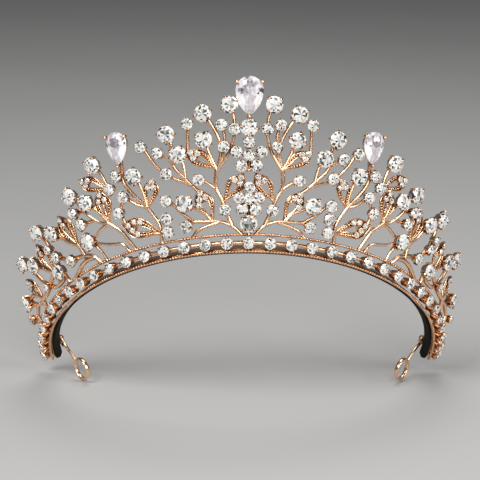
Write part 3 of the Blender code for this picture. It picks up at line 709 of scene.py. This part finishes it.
def claws(shape, place, spots, size, lean=CLAW_LEAN):
    """Prongs from a cup's rim up over the girdle, each with a ball tip; spots are girdle points."""
    for x, y in spots:
        way = Vector((x, y, 0.0))
        radius = way.length
        way.normalize()
        run = [(radius + reach * size, height) for reach, height in CLAW_RUN]
        run.append((radius - lean * size, GIRDLE_UP + CLAW_TIP_RISE * size))
        side = Vector((-way.y, way.x, 0.0))
        out = (place.to_3x3() @ side).normalized()
        path = [(place @ (way * reach + Vector((0.0, 0.0, height))), out) for reach, height in run]
        tube(shape, path, [girth * size for girth in CLAW_RADII], sides=CLAW_SIDES)
        bead(shape, path[-1][0], CLAW_BALL_RADIUS * size)


def cup_section(parts, back):
    """Shares of a stone's outline with their heights: up a cup's wall, over its rim and down its hollow."""
    wall, rim, hollow = parts
    section = []
    for base, part in ((back, wall), (CUP_RIM, rim), (back, hollow)):
        section += [(share, base + rise) for share, rise in part]
    return section


def set_round(metal, stones, spot, diameter, facets=FACETS, painted_reflection_scale=1.0, back=CUP_BACK):
    """A cup with four claws, and the round stone in it."""
    place = crest_frame(*spot)
    radius = diameter / 2
    profile = [(radius * share, height) for share, height in cup_section(ROUND_CUP, back)]
    turned(metal, profile, ROUND_CUP_SIDES, place)
    ring = circle(ROUND_CLAWS, CHANCE.uniform(0.0, math.pi / 2))
    claws(metal, place, [(radius * c, radius * s) for c, s in ring], CLAW_SIZE * diameter / LARGE)
    round_stone(stones, place @ Matrix.Translation((0.0, 0.0, GIRDLE_UP)), diameter, facets, painted_reflection_scale)


def to_rail(points):
    """A stem that ends over the upper rail, carried on down to it."""
    foot, above = Vector(points[0]), Vector(points[1])
    if foot.y > FOOT_UP:
        return points
    reach = (foot.y - UPPER_RAIL_UP) / max(above.y - foot.y, STEM_RADIUS)
    return [tuple(foot + (foot - above) * reach)] + points


def end_swell(count):
    """How near each point of a path is to an end: 1 at both ends and almost 0 along the middle."""
    return [abs(2 * step / (count - 1) - 1) ** SWELL_POWER for step in range(count)]


def stem(metal, points, girth=STEM_GIRTH):
    """A cast stem, a little thicker where it leaves and where it ends."""
    path = crest_path(to_rail(to_rail(points)[::-1]))
    radii = [girth * (1.0 + STEM_SWELL * swell) for swell in end_swell(len(path))]
    tube(metal, path, radii, sides=STEM_SIDES)


def leaf_line(base, tip, across, shares):
    """Drawn points along a leaf, at a share of the way out to its bars."""
    start = Vector(base)
    axis = Vector(tip) - start
    side = Vector((-axis.y, axis.x)).normalized()
    bow = axis.length * LEAF_BOW
    line = []
    for share in shares:
        swell = math.sin(math.pi * ramped(share, 0.0, 1.0) ** LEAF_FULLNESS)
        line.append(tuple(start + axis * share + side * (across * bow * swell)))
    return line


def leaf_bar(metal, base, tip, side, bar_half):
    """One bar of a leaf: a floor between two thin rims, with a row of beads on it."""
    half = bar_half / ((Vector(tip) - Vector(base)).length * LEAF_BOW)
    run = 1.0 + 2 * LEAF_BAR_OVERRUN
    shares = [-LEAF_BAR_OVERRUN + run * step / LEAF_STEPS for step in range(LEAF_STEPS + 1)]
    inner_shares = shares[:LEAF_INNER_RIM_POINTS]
    for across, rim_shares in ((LEAF_BAR_ACROSS + half, shares), (LEAF_BAR_ACROSS - half, inner_shares)):
        path = crest_path(leaf_line(base, tip, side * across, rim_shares), LEAF_CURVE_STEPS, LEAF_RIM_OUT)
        tube(metal, path, [LEAF_RIM_RADIUS] * len(path), flat=LEAF_RIM_DEPTH)
    middle = side * LEAF_BAR_ACROSS
    path = crest_path(leaf_line(base, tip, middle, shares), LEAF_CURVE_STEPS, LEAF_FLOOR_OUT)
    radii = [bar_half * (1.0 - LEAF_BAR_TAPER * swell) for swell in end_swell(len(path))]
    tube(metal, path, radii, flat=LEAF_FLOOR_HALF / bar_half)
    steps = range(LEAF_BEADS_STEPS + 1)
    shares = [LEAF_BEADS_START + LEAF_BEADS_RUN * step / LEAF_BEADS_STEPS for step in steps]
    path = crest_path(leaf_line(base, tip, middle, shares), LEAF_CURVE_STEPS, LEAF_BEAD_OUT)
    for spot in spaced(path, LEAF_BEAD_PITCH):
        bead(metal, spot, LEAF_BEAD_RADIUS * (bar_half / LEAF_BAR_HALF) ** LEAF_BEAD_GROWTH)


def leaf_plate(metal, base, tip):
    """The thin floor between a leaf's bars that its pave stones are set in."""
    rings = []
    for step in range(LEAF_PLATE_STEPS + 1):
        share = LEAF_PLATE_START + (LEAF_PLATE_END - LEAF_PLATE_START) * step / LEAF_PLATE_STEPS
        ring = []
        for across, out in ((-1, -1), (1, -1), (1, 1), (-1, 1)):
            along, up = leaf_line(base, tip, across * LEAF_BAR_ACROSS, [share])[0]
            ring.append(crest_frame(along, up, LEAF_FLOOR_OUT + out * LEAF_FLOOR_HALF).translation)
        rings.append(ring)
    metal.rings(rings)


def leaf_rib(metal, base, tip):
    """The ribbed middle of a leaf, thicker towards the tip."""
    shares = [RIB_START + RIB_RUN * step / RIB_STEPS for step in range(RIB_STEPS + 1)]
    path = crest_path(leaf_line(base, tip, 0.0, shares), steps=1)
    reach = (path[-1][0] - path[0][0]).length / MM
    radii = []
    for step in range(len(path)):
        wave = math.cos(2 * math.pi * step / RIB_STEPS * reach / RIB_PITCH)
        radii.append(RIB_RADIUS + RIB_SWELL * step / RIB_STEPS + RIB_DEPTH * wave)
    tube(metal, path, radii)


def leaf_pave(metal, stones, base, tip, pave):
    """The pave stones near a leaf's tip, each in a small seat with beads round it."""
    flip = math.copysign(1.0, tip[0])
    for share, across in pave:
        seat = crest_frame(*leaf_line(base, tip, across * flip, [share])[0])
        turned(metal, PAVE_SEAT, PAVE_SEAT_SIDES, seat)
        girdle = seat @ Matrix.Translation((0.0, 0.0, PAVE_GIRDLE_UP))
        round_stone(stones, girdle, PAVE_DIAMETER, PAVE_FACETS)
        for c, s in circle(PAVE_BEADS, CHANCE.uniform(0.0, PAVE_BEAD_TURN)):
            spot = seat @ Vector((c * PAVE_BEAD_AROUND, s * PAVE_BEAD_AROUND, PAVE_BEAD_UP))
            bead(metal, spot, PAVE_BEAD_RADIUS)


def make_leaf(metal, stones, leaf, place):
    """A leaf's two bars, the plate between them, its rib where it has one, and its pave stones."""
    base, tip = place(leaf.base), place(leaf.tip)
    for side in (-1, 1):
        leaf_bar(metal, base, tip, side, leaf.bar_half)
    leaf_plate(metal, base, tip)
    if leaf.ribbed:
        leaf_rib(metal, base, tip)
    leaf_pave(metal, stones, base, tip, leaf.pave)


# Materials: noises as scale and detail, bumps as strength and millimetres, ramps as places and colours
NOISE_LOW = 0.3
NOISE_HIGH = 0.7
# Painted shade in the gold: ambient occlusion over this reach, in millimetres, darkens and warms the colour
# in hollows; the last stop is the gold's own colour.
PAINTED_SHADE_SAMPLES = 6
PAINTED_SHADE_REACH = 2.2
GOLD_COLOUR_AND_PAINTED_SHADE = ((0.05, (0.07, 0.024, 0.008)), (0.3, (0.30, 0.13, 0.05)), (0.65, (0.70, 0.40, 0.215)),
              (1.0, (0.90, 0.61, 0.40)))
# Rails: a darker, more orange copy of the gold, as painted shade and a painted warm reflection.
RAIL_PAINTED_SHADE_TINTS = ((0.05, (0.07, 0.024, 0.008)), (0.3, (0.28, 0.11, 0.04)), (0.65, (0.62, 0.32, 0.16)),
              (1.0, (0.81, 0.48, 0.285)))
GOLD_GRAIN = (350.0, 2.0)
GOLD_ROUGHNESS = (0.2, 0.28)
GOLD_BUMP = (0.06, 0.05)
FACET_VALUES = ('tone', 'fire')
# Painted reflections: ramps from a facet's painted reflection tone to black, grey and white, and from its
# painted fire to warm and cool tints.
CLEAR_PAINTED_REFLECTIONS = ((0.0, (0.02, 0.02, 0.02)), (0.35, (0.18, 0.175, 0.165)), (0.65, (0.58, 0.575, 0.55)),
               (1.0, (1.0, 0.99, 0.96)))
CLEAR_FIRES = ((0.0, (1.0, 0.9, 0.86)), (0.5, (1.0, 1.0, 1.0)), (1.0, (0.9, 0.97, 0.92)))
LILAC_PAINTED_REFLECTIONS = ((0.0, (0.05, 0.05, 0.05)), (0.4, (0.30, 0.285, 0.30)), (0.75, (0.72, 0.70, 0.715)),
               (1.0, (1.0, 0.99, 1.0)))
LILAC_FIRES = ((0.0, (1.0, 0.93, 0.96)), (0.35, (0.985, 0.955, 0.985)), (0.5, (1.0, 1.0, 1.0)))
FOIL_SHINE = 0.25
CRYSTAL_IOR = 1.7
CRYSTAL_POLISH = (700.0, 1.0)
CRYSTAL_ROUGHNESS = (0.03, 0.09)
PILE = (2600.0, 4.0)
# Near-black colour of the lining.
LINING_NEAR_BLACK_TINTS = ((0.3, (0.004, 0.0035, 0.002)), (0.75, (0.016, 0.014, 0.008)))
PILE_ROUGHNESS = (0.7, 0.95)
PILE_BUMP = (0.6, 0.12)
PILE_SPECULAR = 0.1
PILE_SHEEN = 0.025
PILE_SHEEN_ROUGHNESS = 0.4


def noise(nodes, links, scale, detail):
    """A noise texture in the piece's own space."""
    coordinates = nodes.new('ShaderNodeTexCoord')
    texture = nodes.new('ShaderNodeTexNoise')
    texture.inputs['Scale'].default_value = scale
    texture.inputs['Detail'].default_value = detail
    links.new(coordinates.outputs['Object'], texture.inputs['Vector'])
    return texture


def ramp(nodes, links, source, stops):
    """A colour ramp over a value."""
    ramp_node = nodes.new('ShaderNodeValToRGB')
    elements = ramp_node.color_ramp.elements
    while len(elements) < len(stops):
        elements.new(0.5)
    for element, (position, colour) in zip(elements, stops):
        element.position = position
        element.color = (*colour, 1.0)
    links.new(source, ramp_node.inputs['Fac'])
    return ramp_node.outputs['Color']


def spread(nodes, links, source, low, high):
    """A value spread over a range."""
    node = nodes.new('ShaderNodeMapRange')
    node.inputs['From Min'].default_value = NOISE_LOW
    node.inputs['From Max'].default_value = NOISE_HIGH
    node.inputs['To Min'].default_value = low
    node.inputs['To Max'].default_value = high
    links.new(source, node.inputs['Value'])
    return node.outputs['Result']


def bump(nodes, links, source, strength, depth):
    """A bump from a texture, its depth in millimetres."""
    node = nodes.new('ShaderNodeBump')
    node.inputs['Strength'].default_value = strength
    node.inputs['Distance'].default_value = depth * MM
    links.new(source, node.inputs['Height'])
    return node.outputs['Normal']


def new_material(name):
    """A material with its nodes, links and Principled shader."""
    material = bpy.data.materials.new(name)
    material.use_nodes = True
    tree = material.node_tree
    return material, tree.nodes, tree.links, tree.nodes['Principled BSDF']


def make_gold(name, tints):
    """Polished rose gold with painted shade: darker and warmer in the hollows by ambient occlusion, paler
    on the polished crowns, with a faint cast grain.
    """
    material, nodes, links, shader = new_material(name)
    # Painted shade: ambient occlusion darkens the colour in hollows.
    hollow = nodes.new('ShaderNodeAmbientOcclusion')
    hollow.samples = PAINTED_SHADE_SAMPLES
    hollow.inputs['Distance'].default_value = PAINTED_SHADE_REACH * MM
    tint = ramp(nodes, links, hollow.outputs['AO'], tints)
    links.new(tint, shader.inputs['Base Color'])
    shader.inputs['Metallic'].default_value = 1.0
    grain = noise(nodes, links, *GOLD_GRAIN)
    links.new(spread(nodes, links, grain.outputs['Fac'], *GOLD_ROUGHNESS), shader.inputs['Roughness'])
    links.new(bump(nodes, links, grain.outputs['Fac'], *GOLD_BUMP), shader.inputs['Normal'])
    return material


def make_crystal(name, painted_reflections, fires):
    """Foil-backed crystal: each facet's colour is the painted reflection tone and the painted fire of the
    light that the facets under it throw back.
    """
    material, nodes, links, shader = new_material(name)
    colours = []
    for attribute, stops in zip(FACET_VALUES, (painted_reflections, fires)):
        facet = nodes.new('ShaderNodeAttribute')
        facet.attribute_name = attribute
        colours.append(ramp(nodes, links, facet.outputs['Fac'], stops))
    mix = nodes.new('ShaderNodeMixRGB')
    mix.blend_type = 'MULTIPLY'
    mix.inputs['Fac'].default_value = 1.0
    links.new(colours[0], mix.inputs['Color1'])
    links.new(colours[1], mix.inputs['Color2'])
    links.new(mix.outputs['Color'], shader.inputs['Base Color'])
    shader.inputs['Metallic'].default_value = FOIL_SHINE
    shader.inputs['IOR'].default_value = CRYSTAL_IOR
    polish = noise(nodes, links, *CRYSTAL_POLISH)
    links.new(spread(nodes, links, polish.outputs['Fac'], *CRYSTAL_ROUGHNESS), shader.inputs['Roughness'])
    return material


def make_dark_lining():
    """Near-black lining with a fine noise bump and a faint sheen."""
    material, nodes, links, shader = new_material('lining_velvet')
    pile = noise(nodes, links, *PILE)
    tint = ramp(nodes, links, pile.outputs['Fac'], LINING_NEAR_BLACK_TINTS)
    links.new(tint, shader.inputs['Base Color'])
    links.new(spread(nodes, links, pile.outputs['Fac'], *PILE_ROUGHNESS), shader.inputs['Roughness'])
    shader.inputs['Specular IOR Level'].default_value = PILE_SPECULAR
    shader.inputs['Sheen Weight'].default_value = PILE_SHEEN
    shader.inputs['Sheen Roughness'].default_value = PILE_SHEEN_ROUGHNESS
    links.new(bump(nodes, links, pile.outputs['Fac'], *PILE_BUMP), shader.inputs['Normal'])
    return material


GOLD = make_gold('rose_gold_polished', GOLD_COLOUR_AND_PAINTED_SHADE)
RAIL_GOLD_PAINTED_SHADE = make_gold('rose_gold_beaded', RAIL_PAINTED_SHADE_TINTS)
CRYSTAL = make_crystal('crystal_clear', CLEAR_PAINTED_REFLECTIONS, CLEAR_FIRES)
PEAR_CRYSTAL = make_crystal('crystal_lilac', LILAC_PAINTED_REFLECTIONS, LILAC_FIRES)
DARK_LINING = make_dark_lining()
SHARP_ANGLE = math.radians(48.0)


def dress(name, shape, material, slot, body, *nodes, smooth=True):
    """Make a piece of the gathered surfaces; it rides on its body and stands for the nodes."""
    mesh = bpy.data.meshes.new(name)
    mesh.from_pydata([tuple(point) for point in shape.points], [], shape.faces)
    for number, value in enumerate(FACET_VALUES if shape.painted_reflections else ()):
        layer = mesh.attributes.new(value, 'FLOAT', 'FACE')
        layer.data.foreach_set('value', [pair[number] for pair in shape.painted_reflections])
    surface = bmesh.new()
    surface.from_mesh(mesh)
    bmesh.ops.recalc_face_normals(surface, faces=surface.faces)
    surface.to_mesh(mesh)
    surface.free()
    if smooth:
        mesh.shade_smooth()
        mesh.set_sharp_from_angle(angle=SHARP_ANGLE)
    else:
        mesh.shade_flat()
    mesh.materials.append(material)
    piece = bpy.data.objects.new(name, mesh)
    bpy.context.scene.collection.objects.link(piece)
    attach(piece, body)
    if nodes:
        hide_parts(*nodes)
    return piece


def dress_set(node, metal, stones):
    """Make a casting, which stands for its node, and the smaller stones set in it."""
    dress(node + '_cast', metal, GOLD, 'rose_gold', 'tiara', node)
    dress(node + '_stones', stones, CRYSTAL, 'crystal', 'tiara', smooth=False)


def lone_round(metal, spot, node, painted_reflection_scale=1.0):
    """A large round stone as its own piece, in its cup on the casting."""
    stone = Shape()
    set_round(metal, stone, spot, LARGE, LARGE_FACETS, painted_reflection_scale)
    dress(node + '_cut', stone, CRYSTAL, 'crystal', 'tiara', node, smooth=False)


def set_pear(metal, place, size, node):
    """A pear stone as its own piece, in a pear cup with a claw at its tip and two at its head."""
    outline = pear_girdle(*size, PEAR_CUP_SIDES, 0.0)
    metal.rings([[place @ Vector((x * scale, y * scale, height)) for x, y in outline]
                 for scale, height in cup_section(PEAR_CUP, CUP_BACK)])
    outline = pear_girdle(*size, PEAR_CLAW_STEPS, 0.0)
    claws(metal, place, [outline[step] for step in PEAR_CLAWS], PEAR_CLAW_SIZE, PEAR_CLAW_LEAN)
    stone = Shape()
    pear_stone(stone, place @ Matrix.Translation((0.0, 0.0, GIRDLE_UP)), size)
    dress(node + '_cut', stone, PEAR_CRYSTAL, 'crystal', 'tiara', node, smooth=False)


def make_casting(casting, side_name):
    """One side's casting with its stones."""
    side = SIDES[side_name]
    metal, stones = Shape(), Shape()

    def place(spot):
        return leaned(casting, side, spot)

    for number, points in enumerate(casting.stems):
        stem(metal, [place(spot) for spot in points], casting.branch_girth if number else casting.girth)
    for leaf in casting.leaves:
        make_leaf(metal, stones, leaf, place)
    for number, spot in enumerate(casting.large, 1):
        lone_round(metal, place(spot), 'crystal_%s_%d_%s' % (casting.name, number, side_name))
    for spot in casting.medium:
        set_round(metal, stones, place(spot), MEDIUM)
    for spot in casting.small:
        set_round(metal, stones, place(spot), SMALL)
    if casting is LEAF:
        seat = crest_frame(*place(SIDE_PEAR_AT)) @ Matrix.Rotation(SIDE_PEAR_TURN * side, 4, 'Z')
        set_pear(metal, seat, SIDE_PEAR, 'pear_crystal_' + side_name)
    dress_set('spray_%s_%s' % (casting.name, side_name), metal, stones)


def make_centre():
    """Column with the centre pear, and the flower on the big stone's cup."""
    metal, stones = Shape(), Shape()
    top_up = CENTRE_PEAR_AT[1] - CENTRE_PEAR[0] / 2 + PEAR_STEM_BITE
    stem(metal, [(0.0, COLUMN_FOOT_UP), (0.0, COLUMN_LARGE_UP), (0.0, top_up)])
    set_pear(metal, crest_frame(*CENTRE_PEAR_AT), CENTRE_PEAR, 'pear_crystal_centre')
    lone_round(metal, (0.0, COLUMN_LARGE_UP), 'crystal_column')
    for up in COLUMN_MIDDLE_UPS:
        set_round(metal, stones, (0.0, up), MEDIUM)
    for along, up in COLUMN_TWIGS:
        set_round(metal, stones, (along, up), MEDIUM)
        stem(metal, [(along, up), (0.0, up - TWIG_DROP)])
    dress_set('centre_column', metal, stones)

    metal, stones = Shape(), Shape()
    lone_round(metal, (0.0, BIG_STONE_UP), 'crystal_centre', BIG_STONE_PAINTED_REFLECTION_SCALE)
    stem(metal, [(0.0, FOOT_UP), (0.0, BIG_STONE_UP), FLOWER_MIDDLE])
    set_round(metal, stones, FLOWER_MIDDLE, MEDIUM)
    for petal in FLOWER_PETALS:
        set_round(metal, stones, petal, MEDIUM)
        stem(metal, [petal, FLOWER_MIDDLE])
    dress_set('centre_flower', metal, stones)


def make_band():
    """Two beaded rails, and the bar with its web behind it and its row of set stones."""
    for node, up in (('lower_rail', LOWER_RAIL_UP), ('upper_rail', UPPER_RAIL_UP)):
        rail = Shape()
        path = band_line(up)
        tube(rail, path, [RAIL_RADIUS * RAIL_CORE] * len(path))
        for spot in spaced(path, RAIL_BEAD_PITCH):
            bead(rail, spot, RAIL_BEAD_RADIUS)
        # The rails take the darker rail gold, with its painted shade.
        dress(node + '_beaded', rail, RAIL_GOLD_PAINTED_SHADE, 'rose_gold', 'tiara', node)
    metal, stones = Shape(), Shape()
    for out, depth in ((0.0, 1.0), (BAR_WEB_OUT, BAR_WEB_DEPTH)):
        path = band_line(0.0, out)
        tube(metal, path, [BAR_RADIUS] * len(path), flat=depth)
    for number in range(-BAND_STONES_EACH_SIDE, BAND_STONES_EACH_SIDE + 1):
        spot = (number * BAND_STONE_PITCH, 0.0)
        set_round(metal, stones, spot, BAND_STONE_DIAMETER, back=BAND_CUP_BACK)
    dress_set('stone_bar', metal, stones)


# Head strip, lining and loops: fineness, millimetres round the ends, and powers for squarer sections
RIBBON_STEPS = 200
RIBBON_SIDES = 16
RIBBON_POINT = 0.05
RIBBON_EDGE = 0.4
RIBBON_FACE = 0.7
STRIP_ROUND_END = 2.0
LINING_ROUND_END = 2.4
KNUCKLE_SIDES = 20
LOOP_CURVE_STEPS = 5
LOOP_WIRE_SIDES = 12
LOOP_EYE_STEPS = 48
LOOP_EYE_SIDES = 14
LOOP_SWAY_ACROSS = 0.3
LOOP_SWAY_START = 0.7
LOOP_SWAY_END = 1.3
EYE_THICKNESS = 0.9
EYE_WIDTH = 1.8


def squarer(value, power):
    """A cosine or sine pushed out towards 1, with its sign kept."""
    return math.copysign(abs(value) ** power, value)


def ribbon(shape, start, end, lift, thickness, half_length, round_end):
    """A conical strip round the band with rounded edges and ends."""
    middle = (start + end) / 2
    rings = []
    for step in range(RIBBON_STEPS + 1):
        along = half_length * (2 * step / RIBBON_STEPS - 1)
        left = half_length - abs(along)
        share = math.sqrt(max(0.0, 1.0 - (1.0 - min(1.0, left / round_end)) ** 2))
        reach = max(RIBBON_POINT, (end - start) / 2 * share)
        angle = along / BAND_RADIUS
        ring = []
        for c, s in circle(RIBBON_SIDES):
            slide = middle + reach * squarer(c, RIBBON_EDGE)
            radius, height = strip_profile(slide, lift + thickness / 2 * squarer(s, RIBBON_FACE))
            ring.append(to_world(Vector((math.sin(angle) * radius, -math.cos(angle) * radius, height))))
        rings.append(ring)
    shape.rings(rings)


def loop_frame(side):
    """Hinge frame of an end loop, in millimetres: X along the strip, Y down the loop's leg."""
    angle = side * LOOP_ALONG / BAND_RADIUS
    radius, height = strip_profile(STRIP_END, 0.0)
    reach = LOOP_WIRE_RADIUS + SEAT_GAP + KNUCKLE_WALL - KNUCKLE_BITE
    radius -= reach * math.cos(SLOPE)
    height += reach * math.sin(SLOPE)
    away = Vector((math.sin(angle), -math.cos(angle), 0.0))
    axis = Vector((math.cos(angle), math.sin(angle), 0.0))
    leg = -away * math.cos(LOOP_DROP) - Vector((0.0, 0.0, math.sin(LOOP_DROP)))
    turn = Matrix((axis, leg, axis.cross(leg))).transposed().to_4x4()
    point = away * radius + Vector((0.0, 0.0, height))
    return Matrix.Translation(to_world(point)) @ TILT @ turn @ Matrix.Scale(MM, 4)


def knuckle(shape, side):
    """Tube on the strip's inner edge that an end loop turns in, with its bore open."""
    place = loop_frame(side) @ Matrix.Rotation(math.pi / 2, 4, 'Y')
    bore = LOOP_WIRE_RADIUS + SEAT_GAP
    half = KNUCKLE_LENGTH / 2
    section = ((bore, -half), (bore + KNUCKLE_WALL, -half), (bore + KNUCKLE_WALL, half), (bore, half))
    turned(shape, section, KNUCKLE_SIDES, place, closed=True)


def make_strip():
    """Head strip with a hinge knuckle near each end, and the soft lining under it."""
    half = STRIP_HALF_LENGTH
    strip = Shape()
    ribbon(strip, STRIP_START, STRIP_END, 0.0, STRIP_THICKNESS, half, STRIP_ROUND_END)
    for side in SIDES.values():
        knuckle(strip, side)
    dress('head_strip_formed', strip, GOLD, 'rose_gold', 'tiara', 'head_strip')
    lining = Shape()
    ribbon(lining, STRIP_START, STRIP_END - LINING_INSET, LINING_DROP, LINING_THICKNESS, half,
           LINING_ROUND_END)
    dress('strip_lining_soft', lining, DARK_LINING, 'lining', 'tiara', 'strip_lining')


def make_loop(side_name):
    """End loop: a wire through its knuckle, bent down to a short tail and to a leg with a round eye."""
    place = loop_frame(SIDES[side_name])
    out = place.col[2].xyz.normalized()
    bent = KNUCKLE_LENGTH / 2 + SEAT_GAP + LOOP_WIRE_RADIUS
    leg = [(-bent, LOOP_TAIL), (-bent, LOOP_BEND), (LOOP_BEND - bent, 0.0), (0.0, 0.0),
           (bent - LOOP_BEND, 0.0), (bent, LOOP_BEND),
           (bent * LOOP_SWAY_ACROSS, LOOP_LEG_SWAY * LOOP_SWAY_START), (0.0, LOOP_LEG_SWAY * LOOP_SWAY_END),
           (0.0, LOOP_LENGTH - LOOP_EYE_RADIUS)]
    path = [(place @ spot, out) for spot in rounded([(x, y, 0.0) for x, y in leg], LOOP_CURVE_STEPS)]
    wire = Shape()
    tube(wire, path, [LOOP_WIRE_RADIUS] * len(path), sides=LOOP_WIRE_SIDES)
    twisted = place @ Matrix.Rotation(LOOP_EYE_TWIST * SIDES[side_name], 4, 'Y')
    face = twisted.col[2].xyz.normalized()
    eye = [(twisted @ Vector((LOOP_EYE_RADIUS * c, LOOP_LENGTH + LOOP_EYE_RADIUS * s, 0.0)), face)
           for c, s in circle(LOOP_EYE_STEPS)]
    tube(wire, eye, [EYE_THICKNESS / 2] * len(eye), sides=LOOP_EYE_SIDES, closed=True,
         flat=EYE_WIDTH / EYE_THICKNESS)
    node = 'end_loop_' + side_name
    dress(node + '_wire', wire, GOLD, 'rose_gold', node, node)


# Stage, metres: the lights are name, place, size and power
FLOOR_DROP = 0.0008
FLOOR_HALF = 4.0
FLOOR_CLOUD = (3.0, 2.0)
FLOOR_TINTS = ((0.3, (0.46, 0.455, 0.445)), (0.7, (0.485, 0.48, 0.47)))
FLOOR_ROUGHNESS = 0.7
LIGHT_AIM = Vector((0.0, 0.03, 0.0))
LIGHTS = (
    ('key', (-0.55, -0.75, 0.95), 0.5, 12.5),
    ('fill', (0.85, -0.6, 0.5), 0.45, 5.0),
    ('front', (0.15, -1.1, 0.45), 0.45, 5.5),
    ('top', (0.1, 0.35, 1.1), 0.6, 4.0),
)
ROOM_COLOUR = (0.82, 0.83, 0.85, 1.0)
ROOM_STRENGTH = 0.15
CAMERA_AT = Vector((-0.0210, -0.5542, 0.1390))
CAMERA_AIM = Vector((-0.0030, -0.0017, 0.0048))
CAMERA_ROLL = math.radians(0.6)
CAMERA_LENS = 119.2


def make_floor():
    """Plain pale floor just under the lowest point."""
    mesh = bpy.data.meshes.new('floor')
    surface = bmesh.new()
    bmesh.ops.create_grid(surface, x_segments=1, y_segments=1, size=FLOOR_HALF)
    surface.to_mesh(mesh)
    surface.free()
    material, nodes, links, shader = new_material('floor_pale')
    cloud = noise(nodes, links, *FLOOR_CLOUD)
    tint = ramp(nodes, links, cloud.outputs['Fac'], FLOOR_TINTS)
    links.new(tint, shader.inputs['Base Color'])
    shader.inputs['Roughness'].default_value = FLOOR_ROUGHNESS
    mesh.materials.append(material)
    floor = bpy.data.objects.new('floor', mesh)
    floor.location = (0.0, 0.0, CAD_BOX[0].z - FLOOR_DROP)
    bpy.context.scene.collection.objects.link(floor)


def softbox(name, place, size, power):
    """A square studio light that faces the tiara."""
    light = bpy.data.lights.new(name, 'AREA')
    light.size = size
    light.energy = power
    lamp = bpy.data.objects.new(name, light)
    lamp.location = place
    lamp.rotation_euler = (LIGHT_AIM - Vector(place)).to_track_quat('-Z', 'Y').to_euler()
    bpy.context.scene.collection.objects.link(lamp)


def make_light():
    """Soft key from the upper left, fill from the right, front and top lights, and a dim grey room."""
    for light in LIGHTS:
        softbox(*light)
    world = bpy.data.worlds.new('studio')
    bpy.context.scene.world = world
    world.use_nodes = True
    sky = world.node_tree.nodes['Background']
    sky.inputs['Color'].default_value = ROOM_COLOUR
    sky.inputs['Strength'].default_value = ROOM_STRENGTH
    bpy.context.scene.view_settings.view_transform = 'Standard'


def make_camera():
    """Camera at the photograph's angle."""
    lens = bpy.data.cameras.new('camera')
    lens.lens = CAMERA_LENS
    camera = bpy.data.objects.new('camera', lens)
    aim = (CAMERA_AIM - CAMERA_AT).to_track_quat('-Z', 'Y').to_matrix().to_4x4()
    camera.matrix_world = Matrix.Translation(CAMERA_AT) @ aim @ Matrix.Rotation(CAMERA_ROLL, 4, 'Z')
    bpy.context.scene.collection.objects.link(camera)
    bpy.context.scene.camera = camera


make_camera()
make_band()
make_strip()
make_centre()
for side_name in SIDES:
    for casting in SIDE_CASTINGS:
        make_casting(casting, side_name)
    make_loop(side_name)
make_floor()
make_light()
